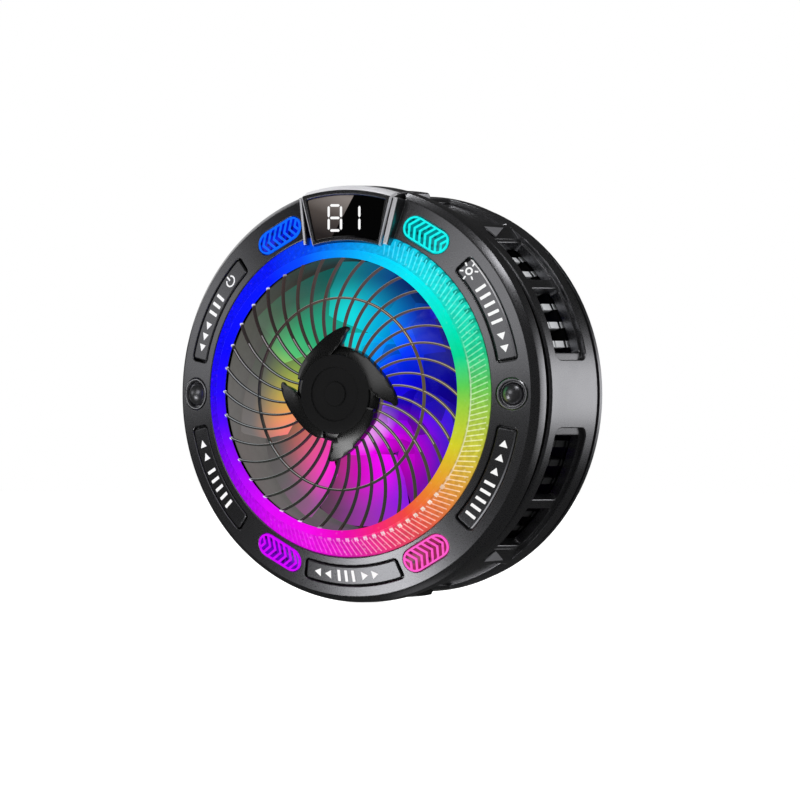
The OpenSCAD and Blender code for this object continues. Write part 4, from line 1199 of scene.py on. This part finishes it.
# Grille: thin round-backed spokes, each one arc from the hub plate to the hoop, with a middle ring
def grille():
    """A spoke is an arc round a centre beside the fan axis, from the hub plate to the hoop."""
    arc_r, arc_x, arc_y = 14.3, 10.07, -13.17
    reach = math.hypot(arc_x, arc_y)
    middle_r, spoke_z = 15.65, z_hoop - 0.62

    def seen(r):
        """The angle at the arc's centre between the fan axis and the arc's point at radius r."""
        return math.acos((reach ** 2 + arc_r ** 2 - r ** 2) / (2 * reach * arc_r))

    end, start = seen(hoop_in_r + 0.04), seen(hub_plate_r - 0.5)
    section = ((-0.21, -0.35), (-0.17, 0.12), (-0.08, 0.3), (0.08, 0.3), (0.17, 0.12), (0.21, -0.35))
    begin = 180 + math.degrees(math.atan2(arc_y, arc_x)) - math.degrees(end)
    spoke = swept("spoke", [(arc_r + x, h) for x, h in section], 18, math.degrees(end - start), begin)
    shift(spoke, arc_x, arc_y, spoke_z)
    step = 360 / spoke_count
    spokes = joined("spokes", spread(spoke, [(i + 1.15) * step for i in range(spoke_count)]))
    section = ((-0.22, -0.32), (0.22, -0.32), (0.18, 0.1), (0.08, 0.27), (-0.08, 0.27), (-0.18, 0.1))
    middle = turned("middle", [(middle_r + x, spoke_z + h) for x, h in section], 180)
    low, high, inner, outer = 29.6, 30.74, hoop_in_r + 0.02, hoop_r - 0.7
    hoop = turned("hoop", [(inner, low), (outer, low), (outer, high), (inner, high)], 180)
    hub = turned("hub", [
        (1.6, z_hoop - 1.3), (hub_plate_r - 0.15, z_hoop - 1.3), (hub_plate_r, z_hoop - 1.15),
        (hub_plate_r, z_plate - 0.02), (1.6, z_plate - 0.02)], 96)

    def highlit_flank(at, r, way):
        """Tells whether a face is an upper flank looking to the upper left: a painted highlight."""
        return 0.3 < way.z < 0.7 and 0.85 * way.y > 0.5 * way.x

    # Painted highlight on the upper left flanks of the spokes, the middle ring and the hub
    for part in (spokes, middle, hub):
        touched_up(finish(part, grille_glow_abs), grille_edge_highlight, highlit_flank)
    piece = joined("grille_spokes", [spokes, middle, hub, finish(hoop, duct_wall_with_glow)])
    return fitted(piece, "housing", ["grille"], sharp=50)


grille()


# Mid housing: a turned shell with stepped, round-cornered vents, wedge recesses and two raised pads
def in_quarter(quarter, a0, a1):
    """A stretch of the wall at the upper right, given by its clock angles, brought into another quarter."""
    if quarter in (1, 3):
        a0, a1 = 180 - a1, 180 - a0
    turned_by = 180 if quarter > 1 else 0
    return a0 + turned_by, a1 + turned_by


def wall_tool(a0, a1, h0, h1, depth, corner, flare, r=32.4):
    """A cutting tool for the side wall between two clock angles and two heights."""
    width = math.radians(a1 - a0) * r
    tool = plate("tool", width, h1 - h0, depth, corner, flare=flare, above=1.5, slices=max(4, int(width)))
    return turn(walled(tool, r, (h0 + h1) / 2), z=(a0 + a1) / 2 - 90)


def mid_housing():
    """The shell is cut in steps: vent bays and wedge recesses, then the openings through the bays."""
    z_mid, z_top, in_r, mid_r, neck_r, lip_r, z_ledge = 3.35, 18.6, 30.0, 32.4, 31.0, 29.4, 15.9
    shell = turned("mid_shell", [
        (in_r, z_mid), (mid_r - 0.35, z_mid), (mid_r - 0.1, z_mid + 0.1), (mid_r, z_mid + 0.35),
        (mid_r, z_top - 0.4), (mid_r - 0.12, z_top - 0.12), (mid_r - 0.4, z_top), (neck_r, z_top),
        (neck_r, z_wall), (lip_r, z_wall), (lip_r, z_top), (in_r, z_top - 0.6), (in_r, z_ledge + 1.0),
        (in_r - 1.4, z_ledge + 1.0), (in_r - 1.4, z_ledge + 0.1), (in_r, z_ledge + 0.1)], 360)
    bay = (6.2, 16.1, 0.75, 1.7, 0.12)
    wedge = (6.6, 15.8, 0.8, 0.4, 0.5)
    opening = (6.75, 15.4, 3.6, 0.7, 0.12)
    tools, ramps = [], []
    for quarter in range(4):
        tools.append(wall_tool(*in_quarter(quarter, 9.9, 53), *bay))
        tools.append(wall_tool(*in_quarter(quarter, 59.5, 79), *wedge))
        ramp = turn(plate("tool", 2.9, 9.6, 1.0, above=2.0, slices=6), y=-16)
        ramp = walled(shift(ramp, z=0.625), mid_r, 11.15)
        if quarter in (0, 2):
            shift(turn(ramp, y=180), z=2 * 11.15)
        ramps.append(turn(ramp, z=(-35.3, 35.3, 144.7, 215.3)[quarter]))
    cut(shell, tools)
    cut(shell, ramps)
    tools = []
    for quarter in range(4):
        for a0, a1 in ((12.3, 33.0), (36.2, 51.6)):
            tools.append(wall_tool(*in_quarter(quarter, a0, a1), *opening, mid_r - 0.74))
    cut(shell, tools)
    section = [(31.4, 10.8), (32.6, 10.8), (33.22, 11.5), (33.3, 11.7), (33.3, 16.1), (33.2, 16.35),
               (32.2, 18.0), (31.4, 18.0)]
    pads = [swept("pad", section, 14, 19, clock - 9.5, edge=0.25) for clock in (90, 270)]
    cut(shell, pads, "UNION")
    socket = turn(shift(plate("tool", 9.24, 3.56, 8.0, 1.7, above=2.0), z=34.0), x=90)
    cut(shell, [shift(socket, z=13.43)])

    def in_shade(at, r, way):
        """Tells whether a face lies in the joint under the front ring or on the shaded boss at 6 o'clock."""
        boss_side = at.y < -30 and r > mid_r + 0.1 and way.x > 0.4
        return boss_side or at.z > z_top - 0.3 and r < neck_r + 0.6

    # Painted shade: black in the joint under the front ring and on the boss side at 6 o'clock
    touched_up(finish(shell, gunmetal), painted_shade_black, in_shade)
    # Painted highlight: thin triangles of a paler metal laid on the ramps beside the vents
    facets = []
    for clock, way in ((55, 1), (125, -1), (235, 1), (305, -1)):
        corners = [(-1.41 * way, -2.75), (-1.07 * way, 2.85), (1.41 * way, -2.85)]
        facet = walled(prism("facet", corners, -0.15, 0.03), mid_r, 11.85)
        facets.append(finish(turn(facet, z=clock - 90), facet_highlight_metal))
    piece = joined("mid_housing_shell", [shell] + facets)
    return fitted(piece, "housing", ["mid_housing"], sharp=14)


mid_housing()

# Every other piece keeps its CAD shape and gets one finish
finish_of = {
    "rear_cover": rear_metal, "silicone_pad": silicone, "magnet_ring": nickel, "magnet_shield": steel,
    "cold_plate": brushed, "tec_cold_side": ceramic, "tec_pellets": telluride, "tec_hot_side": ceramic,
    "insulator": foam, "heat_sink": shaded_fins, "heat_sink_screws": steel, "housing_screws": steel,
    "control_board": green_board, "usb_shell": steel, "usb_tongue": dark_nylon, "ribbon_cable": amber_film,
    "fan_frame": duct_wall_with_glow, "bezel_screws": steel, "motor_board": green_board,
    "stator_core": steel, "stator_coils": copper, "bearing": bronze, "shaft": steel, "rotor_yoke": steel,
    "rotor_magnet": dark_nylon, "led_board": white_board, "leds": lamp_white,
    "power_switch": dark_nylon, "light_switch": dark_nylon, "display_module": dark_nylon,
}
for name, surface in finish_of.items():
    mesh = nodes[name].data
    for k in range(len(mesh.materials)):
        mesh.materials[k] = surface
    if len(mesh.materials) == 0:
        mesh.materials.append(surface)
